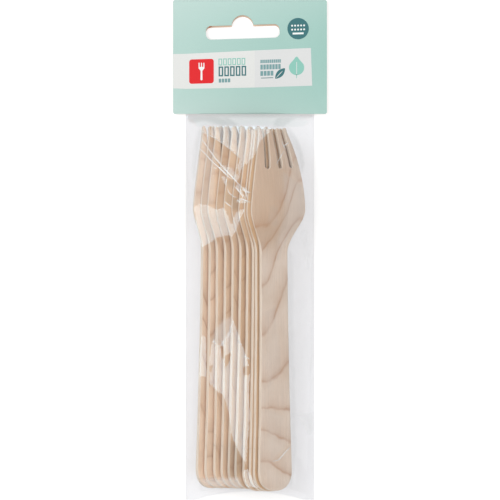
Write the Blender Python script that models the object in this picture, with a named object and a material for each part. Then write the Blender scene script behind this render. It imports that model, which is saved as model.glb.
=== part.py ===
"""Pack of ten wooden forks, fanned in a clear film bag under a folded card header.

Metres, +Z up. The pack lies on its back: X runs across it, +Y towards the header card, and the
origin is the middle of the pack on the surface that it lies on.
"""

import math

import bmesh
import bpy
import numpy as np
from mathutils import Matrix, Vector

MM = 0.001

# Fork
FORK_LENGTH = 160.0 * MM
FORK_THICKNESS = 1.6 * MM
HANDLE_END_HALF_WIDTH = 9.2 * MM
HANDLE_END_ROUND = 9.0 * MM
HANDLE_END_SQUARENESS = 2.3
NECK_HALF_WIDTH = 7.5 * MM
NECK_TO_TIPS = 55.0 * MM
WIDEST_TO_TIPS = 36.0 * MM
HEAD_HALF_WIDTH = 15.5 * MM
TIPS_HALF_WIDTH = 7.2 * MM
HEAD_TAPER_POWER = 1.6
HEAD_RISE = 6.4 * MM
HEAD_DOME = 3.5 * MM
TIPS_DROP = 0.2 * MM
TINE_COUNT = 4
TINE_SLOT_LENGTH = 17.7 * MM
TINE_SLOT_HALF_WIDTH = 1.35 * MM
TIP_GAP_HALF_WIDTH = 1.7 * MM
SLOT_ROOT_PITCH = 6.7 * MM
SLOT_MOUTH_PITCH = 4.7 * MM
TINE_TIP_ROUND = 3.5 * MM
HANDLE_END_POINTS = 8
HANDLE_POINTS = 5
SHOULDER_POINTS = 8
TAPER_POINTS = 8
TIP_ARC_STEPS = 6
SLOT_ARC_STEPS = 4
HEAD_BENDS = 7
HEAD_SCORES = (-0.6, -0.3, 0.0, 0.3, 0.6)

# Stack of forks, from the top one down to the one beneath them all
CLEARANCE = 0.3 * MM
FAN_PIVOT_TO_TIPS = 35.0 * MM
STACK_TILT = math.radians(40.0)
STACK_PITCH = math.radians(2.0)
STACK_CENTRE_X = 10.7 * MM
TOP_FORK_TURN = math.radians(0.5)
FORK_SLIPS = [slip * MM for slip in (0.6, 0.0, 1.1, 1.5, 2.1, 2.1, 2.4, 1.7, 1.9)]
FORK_TURNS = [math.radians(turn) for turn in (0.2, 0.4, 0.3, 0.3, -0.3, -0.2, -0.3, 0.6, 0.3)]
FORK_SHIFTS = [shift * MM for shift in (-0.3, 0.0, 0.0, 0.8, 0.2, 0.0, 0.1, 0.0, 0.0)]

# Film bag
FILM_THICKNESS = 0.12 * MM
BAG_SIDE_ROOM = 2.7 * MM
BAG_FOOT = 4.2 * MM
BAG_FOOT_ARC = 2.9 * MM
BAG_TONGUE = 24.0 * MM
TIPS_TO_CARD = 6.4 * MM
FILM_SLACK = 0.25 * MM
FILM_ROW_STEP = 9.0 * MM
DRAPE_TANGENTS = 14
LEFT_WALL_PANELS = 2
RIGHT_SLOPE_PANELS = 4
BACK_PANELS = 8
FOOT_WALL_FILMS = 4
FALL_START = 0.15
FALL_MIDDLE = 0.50
FALL_MIDDLE_HEIGHT = 0.45
FALL_MIDDLE_LIFT = 0.35
WIDTH_SAMPLES = 60
SECTION_SAMPLES = 3
RING_SAMPLES = 7

# Header card
CARD_SIDE_OVERHANG = 5.6 * MM
CARD_HEIGHT = 50.4 * MM
CARD_THICKNESS = 0.4 * MM
CARD_CORNER = 1.0 * MM
CARD_CORNER_STEPS = 4
FOLD_STEPS = 8
HANG_SLOT_LENGTH = 32.6 * MM
HANG_SLOT_HEIGHT = 5.6 * MM
HANG_SLOT_X = -3.2 * MM
HANG_SLOT_TO_FOLD = 14.3 * MM
HANG_SLOT_TURN = math.radians(1.8)
HANG_BUMP_HALF_WIDTH = 4.8 * MM
HANG_BUMP_RISE = 3.8 * MM
HANG_SLOT_END_STEPS = 8
HANG_BUMP_STEPS = 10

# Levels and lengths that follow from the sizes above
PACK_LENGTH = BAG_FOOT + FORK_LENGTH + TIPS_TO_CARD + CARD_HEIGHT
BAG_BOTTOM_Y = -PACK_LENGTH / 2
HANDLE_END_Y = BAG_BOTTOM_Y + BAG_FOOT
TIPS_Y = HANDLE_END_Y + FORK_LENGTH
CARD_BOTTOM_Y = TIPS_Y + TIPS_TO_CARD
CARD_TOP_Y = CARD_BOTTOM_Y + CARD_HEIGHT
SEAM_HEIGHT = 2 * FILM_THICKNESS + CLEARANCE
TONGUE_Z = CARD_THICKNESS + CLEARANCE
CARD_DEPTH = 2 * (CARD_THICKNESS + CLEARANCE) + SEAM_HEIGHT
FORK_PIVOT_V = FORK_LENGTH - FAN_PIVOT_TO_TIPS
HEAD_SLOPE = 1.5 * HEAD_RISE / (NECK_TO_TIPS - WIDEST_TO_TIPS)

# Finishes
BIRCH_TONES = [(0.62, 0.46, 0.32), (0.66, 0.49, 0.35), (0.60, 0.43, 0.29), (0.64, 0.50, 0.38)]
CARD_TONE = (0.49, 0.69, 0.62)
FILM_TONE = (0.92, 0.93, 0.93)
BIRCH_ROUGHNESS = 0.7
CARD_ROUGHNESS = 0.6
FILM_ROUGHNESS = 0.12
SHARP_ANGLE = math.radians(35)
SCORE_MERGE = 0.01 * MM


def smooth_step(share):
    """Ease from 0 to 1 with level ends."""
    share = min(max(share, 0.0), 1.0)
    return share * share * (3 - 2 * share)


def arc(centre, radii, start, end, steps):
    """Points of an elliptical arc from one angle to another, both ends included."""
    angles = np.linspace(start, end, steps + 1)
    return [(centre[0] + radii[0] * math.cos(a), centre[1] + radii[1] * math.sin(a)) for a in angles]


def half_width(v):
    """Half the fork's width at v along it from the handle's end."""
    to_tips = FORK_LENGTH - v
    if v < HANDLE_END_ROUND:
        short = (HANDLE_END_ROUND - max(v, 0.0)) / HANDLE_END_ROUND
        return HANDLE_END_HALF_WIDTH * (1 - short**HANDLE_END_SQUARENESS) ** (1 / HANDLE_END_SQUARENESS)
    if to_tips > NECK_TO_TIPS:
        share = (v - HANDLE_END_ROUND) / (FORK_LENGTH - NECK_TO_TIPS - HANDLE_END_ROUND)
        return NECK_HALF_WIDTH + (HANDLE_END_HALF_WIDTH - NECK_HALF_WIDTH) * (1 - share) ** 2
    if to_tips > WIDEST_TO_TIPS:
        share = (NECK_TO_TIPS - to_tips) / (NECK_TO_TIPS - WIDEST_TO_TIPS)
        return NECK_HALF_WIDTH + (HEAD_HALF_WIDTH - NECK_HALF_WIDTH) * smooth_step(share)
    share = 1 - max(to_tips, 0.0) / WIDEST_TO_TIPS
    return HEAD_HALF_WIDTH - (HEAD_HALF_WIDTH - TIPS_HALF_WIDTH) * share**HEAD_TAPER_POWER


def face_height(u, v):
    """Height of the bent face above the handle's plane: the head bows out and its tips dip."""
    to_tips = FORK_LENGTH - v
    past_neck = (NECK_TO_TIPS - to_tips) / (NECK_TO_TIPS - WIDEST_TO_TIPS)
    dip = max(1 - to_tips / WIDEST_TO_TIPS, 0.0)
    rise = HEAD_RISE * smooth_step(past_neck) - (HEAD_RISE + TIPS_DROP) * dip * dip
    return rise - HEAD_DOME * smooth_step(2 * past_neck) * (u / HEAD_HALF_WIDTH) ** 2


def fork_side():
    """The fork's right-hand edge from the middle of the handle's end up to the outer tine's tip."""
    end = []
    for angle in np.linspace(0.0, math.pi / 2, HANDLE_END_POINTS):
        out = math.sin(angle) ** (2 / HANDLE_END_SQUARENESS)
        along = 1 - math.cos(angle) ** (2 / HANDLE_END_SQUARENESS)
        end.append((HANDLE_END_HALF_WIDTH * out, HANDLE_END_ROUND * along))
    neck_v = FORK_LENGTH - NECK_TO_TIPS
    widest_v = FORK_LENGTH - WIDEST_TO_TIPS
    handle = list(np.linspace(HANDLE_END_ROUND, neck_v, HANDLE_POINTS))[1:]
    shoulder = list(np.linspace(neck_v, widest_v, SHOULDER_POINTS))[1:]
    taper = list(np.linspace(widest_v, FORK_LENGTH - TINE_TIP_ROUND, TAPER_POINTS))[1:-1]
    return end + [(half_width(v), v) for v in handle + shoulder + taper]


def tine_comb():
    """Tine tips and slot roots, from the right-hand side of the head to the left."""
    slots = TINE_COUNT - 1
    tip_v = FORK_LENGTH - TINE_TIP_ROUND
    root_v = FORK_LENGTH - TINE_SLOT_LENGTH + TINE_SLOT_HALF_WIDTH
    share = TINE_TIP_ROUND / (TINE_SLOT_LENGTH - TINE_SLOT_HALF_WIDTH)
    mouth_pitch = SLOT_MOUTH_PITCH + (SLOT_ROOT_PITCH - SLOT_MOUTH_PITCH) * share
    points = []
    for k in range(TINE_COUNT):
        place = (slots - 1) / 2 - k
        right = half_width(tip_v) if k == 0 else (place + 1) * mouth_pitch - TIP_GAP_HALF_WIDTH
        left = -half_width(tip_v) if k == slots else place * mouth_pitch + TIP_GAP_HALF_WIDTH
        centre = ((right + left) / 2, tip_v)
        points += arc(centre, ((right - left) / 2, TINE_TIP_ROUND), 0.0, math.pi, TIP_ARC_STEPS)
        if k < slots:
            root = (place * SLOT_ROOT_PITCH, root_v)
            radii = (TINE_SLOT_HALF_WIDTH, TINE_SLOT_HALF_WIDTH)
            points += arc(root, radii, 0.0, -math.pi, SLOT_ARC_STEPS)
    return points


def fork_mesh():
    """One fork, face up, with its handle's end at the origin and its tines towards +Y."""
    right = fork_side()
    left = [(-u, v) for u, v in reversed(right[1:])]
    bm = bmesh.new()
    outline = [bm.verts.new((u, v, 0.0)) for u, v in right + tine_comb() + left]
    bm.faces.new(outline)
    neck_v = FORK_LENGTH - NECK_TO_TIPS
    bends = list(np.linspace(neck_v, FORK_LENGTH - TINE_SLOT_LENGTH, HEAD_BENDS))
    bends.append(FORK_LENGTH - TINE_SLOT_LENGTH / 2)
    bends.append(FORK_LENGTH - TINE_TIP_ROUND)
    for v in bends:
        cut(bm, Vector((0, v, 0)), Vector((0, 1, 0)))
    for share in HEAD_SCORES:
        cut(bm, Vector((share * HEAD_HALF_WIDTH, 0, 0)), Vector((1, 0, 0)), neck_v)
    bmesh.ops.triangulate(bm, faces=bm.faces[:])
    for face in bm.faces:
        if face.normal.z < 0:
            face.normal_flip()
    lower = bmesh.ops.extrude_face_region(bm, geom=bm.faces[:])
    moved = [item for item in lower["geom"] if isinstance(item, bmesh.types.BMVert)]
    bmesh.ops.translate(bm, verts=moved, vec=(0, 0, -FORK_THICKNESS))
    for vert in bm.verts:
        vert.co.z += face_height(vert.co.x, vert.co.y)
    bmesh.ops.recalc_face_normals(bm, faces=bm.faces[:])
    return finished_mesh(bm, "fork")


def cut(bm, point, normal, beyond_v=None):
    """Score the flat fork along a plane, all over or only from beyond_v to the tips."""
    faces = [f for f in bm.faces if beyond_v is None or f.calc_center_median().y > beyond_v]
    edges = {edge for face in faces for edge in face.edges}
    verts = {vert for face in faces for vert in face.verts}
    geom = faces + list(edges) + list(verts)
    bmesh.ops.bisect_plane(bm, geom=geom, dist=SCORE_MERGE, plane_co=point, plane_no=normal)


def finished_mesh(bm, name):
    """A shaded mesh made from bm, which is freed."""
    mesh = bpy.data.meshes.new(name)
    bm.to_mesh(mesh)
    bm.free()
    mesh.shade_smooth()
    mesh.set_sharp_from_angle(angle=SHARP_ANGLE)
    return mesh


def stack_pitch(slip, shift):
    """Distance through the stack from one fork's face to the next one's, so that they don't meet."""
    dome = HEAD_DOME * abs(slip) * (2 * HEAD_HALF_WIDTH - abs(slip)) / HEAD_HALF_WIDTH**2
    return FORK_THICKNESS + CLEARANCE + dome + abs(shift) * HEAD_SLOPE


def fork_frames():
    """World matrices of the forks, the top one first, at the height where the lowest just clears the film."""
    pivot = Matrix.Translation((STACK_CENTRE_X, HANDLE_END_Y + FORK_PIVOT_V, 0))
    stack = pivot @ Matrix.Rotation(STACK_PITCH, 4, "X") @ Matrix.Rotation(STACK_TILT, 4, "Y")
    to_pivot = Matrix.Translation((0, -FORK_PIVOT_V, 0))
    u, v, n, turn = 0.0, 0.0, 0.0, TOP_FORK_TURN
    frames = [stack @ Matrix.Rotation(turn, 4, "Z") @ to_pivot]
    for slip, turned, shift in zip(FORK_SLIPS, FORK_TURNS, FORK_SHIFTS):
        u -= slip
        v += shift
        n -= stack_pitch(slip, shift)
        turn -= turned
        place = Matrix.Translation((u, v, n))
        frames.append(stack @ place @ Matrix.Rotation(turn, 4, "Z") @ to_pivot)
    return frames


def edge_points(frame, v):
    """World points round the fork's section at v: both faces at the edges and between them."""
    reach = half_width(v)
    points = []
    for share in (-1.0, -0.5, 0.0, 0.5, 1.0):
        u = share * reach
        height = face_height(u, v)
        points.append(frame @ Vector((u, v, height)))
        points.append(frame @ Vector((u, v, height - FORK_THICKNESS)))
    return points


def upper_hull(points):
    """The upper convex outline of (x, z) points, from the lowest x to the highest."""
    hull = []
    for x, z in sorted(points):
        while len(hull) > 1:
            (ax, az), (bx, bz) = hull[-2], hull[-1]
            if (bx - ax) * (z - az) - (bz - az) * (x - ax) < 0:
                break
            hull.pop()
        hull.append((x, z))
    return hull


def bag_half_width(frames):
    """Half the bag's width: it takes in the forks' outer edges with room to spare."""
    reach = 0.0
    for frame in frames:
        for v in np.linspace(0.0, FORK_LENGTH, WIDTH_SAMPLES):
            reach = max(reach, max(abs(point.x) for point in edge_points(frame, v)))
    return reach + BAG_SIDE_ROOM


def section_points(frames, y):
    """The forks' points near y as (x, z), each grown to a ring that the film keeps off by its clearance."""
    off = CLEARANCE + FILM_THICKNESS + FILM_SLACK
    points = []
    for frame in frames:
        pivot_y = (frame @ Vector((0, FORK_PIVOT_V, 0))).y
        middle_v = FORK_PIVOT_V + y - pivot_y
        for v in middle_v + np.linspace(-0.5, 0.5, SECTION_SAMPLES) * FILM_ROW_STEP:
            if -FILM_ROW_STEP / 2 <= v <= FORK_LENGTH + FILM_ROW_STEP / 2:
                for point in edge_points(frame, min(max(v, 0.0), FORK_LENGTH)):
                    for angle in np.linspace(-math.pi / 2, math.pi / 2, RING_SAMPLES):
                        points.append((point.x + off * math.sin(angle), point.z + off * math.cos(angle)))
    return points


def draped(frames, y):
    """The film's upper layer at y, from the left seam over the forks to the right seam, as (x, z).

    It is the outline of tangents laid round the forks, evenly turned from the seams' own tangents.
    """
    half = bag_half_width(frames)
    ends = [(-half, SEAM_HEIGHT), (half, SEAM_HEIGHT)]
    points = section_points(frames, y)
    hull = upper_hull(ends + points)
    leans = []
    for (ax, az), (bx, bz) in (hull[:2], hull[-2:]):
        leans.append(math.atan2(az - bz, bx - ax))
    tangents = []
    for lean in np.linspace(leans[0], leans[1], DRAPE_TANGENTS):
        normal = (math.sin(lean), math.cos(lean))
        tangents.append((normal, max(normal[0] * x + normal[1] * z for x, z in ends + points)))
    corners = [meeting(a, b) for a, b in zip(tangents, tangents[1:])]
    left_wall = parted(ends[0], corners[0], LEFT_WALL_PANELS)
    right_slope = parted(corners[-1], ends[1], RIGHT_SLOPE_PANELS)
    return left_wall[:-1] + corners + right_slope[1:]


def parted(start, end, count):
    """Points that part the line from start to end into `count` equal lengths."""
    return [tuple(point) for point in np.linspace(start, end, count + 1)]


def meeting(first, second):
    """Where two lines meet, each given as a unit normal and its distance from the origin."""
    (ax, az), a = first
    (bx, bz), b = second
    cross = ax * bz - az * bx
    return ((a * bz - b * az) / cross, (ax * b - bx * a) / cross)


def bag_rows(frames):
    """Rings of the bag's outer surface from its foot to its mouth, each as (x, y, z) points.

    Each level says at which y it lies, which share of the full height over the forks it has, how far
    it is lifted to the tongue's height, and how far it follows the foot's arc.
    """
    forks_top_y = max((frame @ Vector((0, FORK_LENGTH, 0))).y for frame in frames)
    forks_end_y = TIPS_Y - FORK_LENGTH
    steps = round((forks_top_y - forks_end_y) / FILM_ROW_STEP)
    half = bag_half_width(frames)
    levels = [(BAG_BOTTOM_Y, 0.0, 0.0, 1.0)]
    levels.append((BAG_BOTTOM_Y + FOOT_WALL_FILMS * FILM_THICKNESS, 1.0, 0.0, 1.0))
    for k in range(1, steps):
        levels.append((forks_end_y + (forks_top_y - forks_end_y) * k / steps, 1.0, 0.0, 0.0))
    room = CARD_BOTTOM_Y - 2 * CLEARANCE - forks_top_y
    levels.append((forks_top_y + FALL_START * room, 1.0, 0.0, 0.0))
    levels.append((forks_top_y + FALL_MIDDLE * room, FALL_MIDDLE_HEIGHT, FALL_MIDDLE_LIFT, 0.0))
    levels.append((CARD_BOTTOM_Y - 2 * CLEARANCE, 0.0, 1.0, 0.0))
    levels.append((CARD_BOTTOM_Y + BAG_TONGUE / 2, 0.0, 1.0, 0.0))
    levels.append((CARD_BOTTOM_Y + BAG_TONGUE, 0.0, 1.0, 0.0))
    rows = []
    for y, full, lifted, footed in levels:
        front = draped(frames, min(max(y, HANDLE_END_Y), forks_top_y))
        base = lifted * TONGUE_Z
        ring = []
        for x, z in front:
            height = SEAM_HEIGHT + (z - SEAM_HEIGHT) * full
            ring.append((x, y + footed * foot_rise(x, half), base + height))
        for x in np.linspace(half, -half, BACK_PANELS + 1):
            ring.append((x, y + footed * foot_rise(x, half), base))
        rows.append(ring)
    return rows


def foot_rise(x, half):
    """How far the bag's foot is drawn up at x, in an arc between its two corners."""
    return BAG_FOOT_ARC * (1 - (x / half) ** 2)


def film_bag(frames):
    """The bag as one thin wall: closed at its foot and sides, open at its mouth inside the card."""
    bm = bmesh.new()
    rings = [[bm.verts.new(point) for point in row] for row in bag_rows(frames)]
    for lower, upper in zip(rings, rings[1:]):
        count = len(lower)
        for i in range(count):
            j = (i + 1) % count
            bm.faces.new((lower[i], lower[j], upper[j], upper[i]))
    bm.faces.new(rings[0])
    bmesh.ops.triangulate(bm, faces=bm.faces[:])
    bmesh.ops.recalc_face_normals(bm, faces=bm.faces[:])
    bag = placed("film_bag", finished_mesh(bm, "film_bag"), material("clear_film", FILM_TONE, FILM_ROUGHNESS))
    wall = bag.modifiers.new("film", "SOLIDIFY")
    wall.thickness = FILM_THICKNESS
    wall.offset = -1.0
    return bag


def header_section():
    """The folded card seen from its side, as (y, z): back panel, round fold and front panel."""
    fold = (CARD_TOP_Y - CARD_DEPTH / 2, CARD_DEPTH / 2)
    outer = CARD_DEPTH / 2
    inner = outer - CARD_THICKNESS
    points = [(CARD_BOTTOM_Y, 0.0)]
    points += arc(fold, (outer, outer), -math.pi / 2, math.pi / 2, FOLD_STEPS)
    points.append((CARD_BOTTOM_Y, CARD_DEPTH))
    points.append((CARD_BOTTOM_Y, CARD_DEPTH - CARD_THICKNESS))
    points += arc(fold, (inner, inner), math.pi / 2, -math.pi / 2, FOLD_STEPS)
    points.append((CARD_BOTTOM_Y, CARD_THICKNESS))
    return points


def hang_slot_outline():
    """Outline of the hang slot about its middle: a round-ended slot with a round bump above it."""
    end = HANG_SLOT_HEIGHT / 2
    reach = HANG_SLOT_LENGTH / 2 - end
    radius = (HANG_BUMP_HALF_WIDTH**2 + HANG_BUMP_RISE**2) / (2 * HANG_BUMP_RISE)
    centre = (0.0, end + HANG_BUMP_RISE - radius)
    spread = math.asin(HANG_BUMP_HALF_WIDTH / radius)
    if HANG_BUMP_RISE > radius:
        spread = math.pi - spread
    points = arc((reach, 0.0), (end, end), -math.pi / 2, math.pi / 2, HANG_SLOT_END_STEPS)
    points += arc(centre, (radius, radius), math.pi / 2 - spread, math.pi / 2 + spread, HANG_BUMP_STEPS)
    points += arc((-reach, 0.0), (end, end), math.pi / 2, 3 * math.pi / 2, HANG_SLOT_END_STEPS)
    return points


def hang_slot_cutter():
    """Guide body that cuts the hang slot through both panels at once."""
    bm = bmesh.new()
    low = -CARD_DEPTH
    face = bm.faces.new([bm.verts.new((x, y, low)) for x, y in hang_slot_outline()])
    top = bmesh.ops.extrude_face_region(bm, geom=[face])
    moved = [item for item in top["geom"] if isinstance(item, bmesh.types.BMVert)]
    bmesh.ops.translate(bm, verts=moved, vec=(0, 0, 3 * CARD_DEPTH))
    bmesh.ops.recalc_face_normals(bm, faces=bm.faces[:])
    cutter = placed("hang_slot_cutter", finished_mesh(bm, "hang_slot_cutter"), None)
    cutter.location = (HANG_SLOT_X, CARD_TOP_Y - HANG_SLOT_TO_FOLD, 0)
    cutter.rotation_euler = (0, 0, HANG_SLOT_TURN)
    cutter.display_type = "WIRE"
    cutter.hide_render = True
    return cutter


def header_card(frames):
    """The header: one card folded over the bag's mouth, with rounded corners and a hang slot."""
    bm = bmesh.new()
    half = bag_half_width(frames) + CARD_SIDE_OVERHANG
    face = bm.faces.new([bm.verts.new((-half, y, z)) for y, z in header_section()])
    side = bmesh.ops.extrude_face_region(bm, geom=[face])
    moved = [item for item in side["geom"] if isinstance(item, bmesh.types.BMVert)]
    bmesh.ops.translate(bm, verts=moved, vec=(2 * half, 0, 0))
    bmesh.ops.recalc_face_normals(bm, faces=bm.faces[:])
    corners = []
    for edge in bm.edges:
        a, b = edge.verts
        at_bottom = max(a.co.y, b.co.y) < CARD_BOTTOM_Y + CLEARANCE
        if at_bottom and abs(a.co.x - b.co.x) < CLEARANCE:
            corners.append(edge)
    steps = CARD_CORNER_STEPS
    bmesh.ops.bevel(bm, geom=corners, offset=CARD_CORNER, segments=steps, profile=0.5, affect="EDGES")
    fold_y = CARD_TOP_Y - CARD_DEPTH / 2
    for vert in bm.verts:
        share = (vert.co.y - fold_y) / (CARD_TOP_Y - fold_y)
        if share > 0:
            drawn_in = CARD_CORNER * (1 - math.sqrt(max(1 - share * share, 0.0)))
            vert.co.x -= math.copysign(drawn_in, vert.co.x)
    finish = material("mint_card", CARD_TONE, CARD_ROUGHNESS)
    card = placed("header_card", finished_mesh(bm, "header_card"), finish)
    slot = card.modifiers.new("hang_slot", "BOOLEAN")
    slot.operation = "DIFFERENCE"
    slot.solver = "EXACT"
    slot.object = hang_slot_cutter()
    return card


def material(name, tone, roughness):
    """A Principled finish of one colour."""
    finish = bpy.data.materials.new(name)
    finish.use_nodes = True
    shader = finish.node_tree.nodes["Principled BSDF"]
    shader.inputs["Base Color"].default_value = (*tone, 1.0)
    shader.inputs["Roughness"].default_value = roughness
    shader.inputs["Metallic"].default_value = 0.0
    finish.diffuse_color = (*tone, 1.0)
    return finish


def placed(name, mesh, finish):
    """An object of this mesh in the scene, with its finish on the object."""
    item = bpy.data.objects.new(name, mesh)
    bpy.context.scene.collection.objects.link(item)
    if finish is not None:
        if not mesh.materials:
            mesh.materials.append(None)
        item.material_slots[0].link = "OBJECT"
        item.material_slots[0].material = finish
    return item


def main():
    """Build the forks, the bag and the card in an empty scene."""
    for item in list(bpy.data.objects):
        bpy.data.objects.remove(item, do_unlink=True)
    mesh = fork_mesh()
    frames = fork_frames()
    lowest = min((frame @ vert.co).z for frame in frames for vert in mesh.vertices)
    lift = Matrix.Translation((0, 0, FILM_THICKNESS + CLEARANCE - lowest))
    frames = [lift @ frame for frame in frames]
    for k, frame in enumerate(frames):
        tone = BIRCH_TONES[k % len(BIRCH_TONES)]
        name = f"fork_{len(frames) - k:02d}"
        fork = placed(name, mesh, material(f"{name}_birch", tone, BIRCH_ROUGHNESS))
        fork.location = frame.to_translation()
        fork.rotation_euler = frame.to_euler()
    film_bag(frames)
    header_card(frames)


main()
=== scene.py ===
"""Looks of a pack of ten wooden forks in a clear film bag under a folded card header.

Metres, +Z up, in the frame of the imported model: X runs across the pack, +Y towards the header.
"""

import logging
import math
from dataclasses import dataclass, field
from enum import Enum

import bpy
import numpy as np
from mathutils import Matrix, Vector, noise
from mathutils.bvhtree import BVHTree
from mathutils.geometry import delaunay_2d_cdt


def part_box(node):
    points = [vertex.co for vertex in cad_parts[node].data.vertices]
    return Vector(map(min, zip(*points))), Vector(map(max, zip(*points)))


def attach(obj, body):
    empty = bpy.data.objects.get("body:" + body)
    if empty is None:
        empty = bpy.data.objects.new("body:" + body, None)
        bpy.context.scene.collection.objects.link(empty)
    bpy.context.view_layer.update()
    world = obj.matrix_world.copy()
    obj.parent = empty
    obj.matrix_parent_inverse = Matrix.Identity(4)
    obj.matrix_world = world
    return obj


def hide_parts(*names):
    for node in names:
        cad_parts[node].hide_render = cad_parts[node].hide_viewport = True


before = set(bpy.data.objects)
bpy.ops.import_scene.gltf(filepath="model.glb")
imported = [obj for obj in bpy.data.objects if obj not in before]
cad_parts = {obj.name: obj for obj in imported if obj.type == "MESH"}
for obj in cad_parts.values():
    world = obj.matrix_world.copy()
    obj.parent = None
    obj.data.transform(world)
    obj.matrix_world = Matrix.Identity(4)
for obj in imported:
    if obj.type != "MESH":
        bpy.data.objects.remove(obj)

LOG = logging.getLogger("wooden_fork_pack")

SEED = 7
MM = 0.001
PHOTO_MIDDLE = 250.0
PHOTO_SCALE = 0.442 * MM
PRINT_TURN = math.radians(1.8)
GLARE_FACING = (-0.30, 0.20, 0.933)
QUARTER = math.pi / 2
TO_MM = 1 / MM
NEAR = 0.1 * MM
WHITE = (1.0, 1.0, 1.0)

Colour = tuple[float, float, float]
Point2 = tuple[float, float]
Point3 = tuple[float, float, float]
Box2 = tuple[float, float, float, float]
Material = bpy.types.Material
Mesh = bpy.types.Mesh
Piece = bpy.types.Object
Socket = bpy.types.NodeSocket


class Slot(Enum):
    """The record's material slots."""

    BIRCH = "birch"
    FILM = "clear_film"
    CARD = "mint_card"


class Ink(Enum):
    """The inks of the header's print, as sRGB colours from 0 to 255."""

    BAND = (223, 223, 220)
    PANEL = (218, 218, 217)
    RED = (222, 28, 34)
    TEAL = (58, 112, 116)
    PALE_TEAL = (118, 156, 158)
    MINT = (140, 196, 182)
    WHITE = (238, 241, 239)
    KRAFT = (164, 106, 76)


def linear(red: float, green: float, blue: float) -> Colour:
    """Turn an sRGB colour with parts from 0 to 255 into scene-linear values."""
    shares = (red / 255, green / 255, blue / 255)
    return tuple(c / 12.92 if c <= 0.04045 else ((c + 0.055) / 1.055) ** 2.4 for c in shares)


def at(px: float, py: float) -> Point2:
    """Give the place on the pack, in metres, that a pixel of the photograph shows."""
    return ((px - PHOTO_MIDDLE) * PHOTO_SCALE, (PHOTO_MIDDLE - py) * PHOTO_SCALE)


def ease(share: float) -> float:
    """Ease from 0 to 1 with level ends."""
    share = min(max(share, 0.0), 1.0)
    return share * share * (3 - 2 * share)


def smoothed(heights: np.ndarray, sigma: float) -> np.ndarray:
    """Blur a grid of heights with a Gaussian, its edges held.

    Args:
        heights: The grid.
        sigma: The blur's width, in cells.

    Returns:
        The blurred grid.
    """
    reach = int(math.ceil(3 * sigma))
    weights = np.exp(-0.5 * (np.arange(-reach, reach + 1) / sigma) ** 2)
    weights /= weights.sum()
    for axis in (0, 1):
        padding = [(reach, reach) if axis == k else (0, 0) for k in (0, 1)]
        padded = np.pad(heights, padding, mode="edge")
        count = heights.shape[axis]
        heights = sum(np.take(padded, range(k, k + count), axis=axis) * w for k, w in enumerate(weights))
    return heights


def arc(centre: Point2, radii: Point2, start: float, end: float, steps: int) -> list[Point2]:
    """Give the points of an elliptical arc, both ends included.

    Args:
        centre: The ellipse's middle.
        radii: Its half-widths along X and Y.
        start: The first angle, in radians.
        end: The last angle.
        steps: How many stretches the arc has.

    Returns:
        The points.
    """
    angles = np.linspace(start, end, steps + 1)
    return [(centre[0] + radii[0] * math.cos(a), centre[1] + radii[1] * math.sin(a)) for a in angles]


def clear_selection() -> None:
    """Leave edit mode and deselect everything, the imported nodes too."""
    if bpy.context.object and bpy.context.object.mode != "OBJECT":
        bpy.ops.object.mode_set(mode="OBJECT")
    bpy.ops.object.select_all(action="DESELECT")


def activate(piece: Piece) -> None:
    """Make a piece the active and only selected one.

    Args:
        piece: The piece.
    """
    clear_selection()
    piece.select_set(True)
    bpy.context.view_layer.objects.active = piece


def enter_edit(piece: Piece, select: str = "SELECT") -> None:
    """Open a piece in edit mode with all of it selected, or none.

    Args:
        piece: The piece.
        select: SELECT or DESELECT.
    """
    activate(piece)
    bpy.ops.object.mode_set(mode="EDIT")
    bpy.ops.mesh.select_all(action=select)


def turn_outwards() -> None:
    """Turn all faces of the piece in edit mode outwards, and leave edit mode."""
    bpy.ops.mesh.select_all(action="SELECT")
    bpy.ops.mesh.normals_make_consistent(inside=False)
    bpy.ops.object.mode_set(mode="OBJECT")


def outlined(points: list[Point2], z: float) -> Piece:
    """Add a filled circle with a corner for each point and move its corners to the points.

    Args:
        points: The outline, anticlockwise.
        z: Height of the flat piece.

    Returns:
        The new flat piece, active and selected.
    """
    clear_selection()
    bpy.ops.mesh.primitive_circle_add(vertices=len(points), radius=1.0, fill_type="NGON")
    piece = bpy.context.object
    for vert, (x, y) in zip(piece.data.vertices, points):
        vert.co = (x, y, z)
    return piece


def flat_grid(columns: int, rows: int) -> Piece:
    """Add a flat grid one metre wide and long.

    Args:
        columns: How many cells it has along X.
        rows: How many it has along Y.

    Returns:
        The grid, active and selected.
    """
    clear_selection()
    bpy.ops.mesh.primitive_grid_add(x_subdivisions=columns, y_subdivisions=rows, size=1.0)
    return bpy.context.object


def thicken(piece: Piece, offset: Point3) -> None:
    """Draw a flat piece out into a closed body.

    Args:
        piece: The flat piece.
        offset: How far and which way it is drawn out.
    """
    enter_edit(piece)
    bpy.ops.mesh.extrude_region_move(TRANSFORM_OT_translate={"value": offset})
    turn_outwards()


def joined(parts: list[Piece]) -> Piece:
    """Join pieces into one.

    Args:
        parts: The pieces.

    Returns:
        The first of them, with the others joined to it.
    """
    activate(parts[0])
    for part in parts:
        part.select_set(True)
    bpy.ops.object.join()
    return bpy.context.object


def mark(mesh: Mesh, name: str, values: np.ndarray) -> None:
    """Keep a value for each point of a mesh as an attribute."""
    mesh.attributes.new(name, "FLOAT", "POINT").data.foreach_set("value", values)


def finish_piece(piece: Piece, name: str, replaces: str | None = None) -> None:
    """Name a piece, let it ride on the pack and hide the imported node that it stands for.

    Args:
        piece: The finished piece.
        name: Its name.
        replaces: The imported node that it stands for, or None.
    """
    piece.name = name
    piece.data.name = name
    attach(piece, "root")
    if replaces:
        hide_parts(replaces)
    LOG.info("%s: %d faces", name, len(piece.data.polygons))


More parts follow.
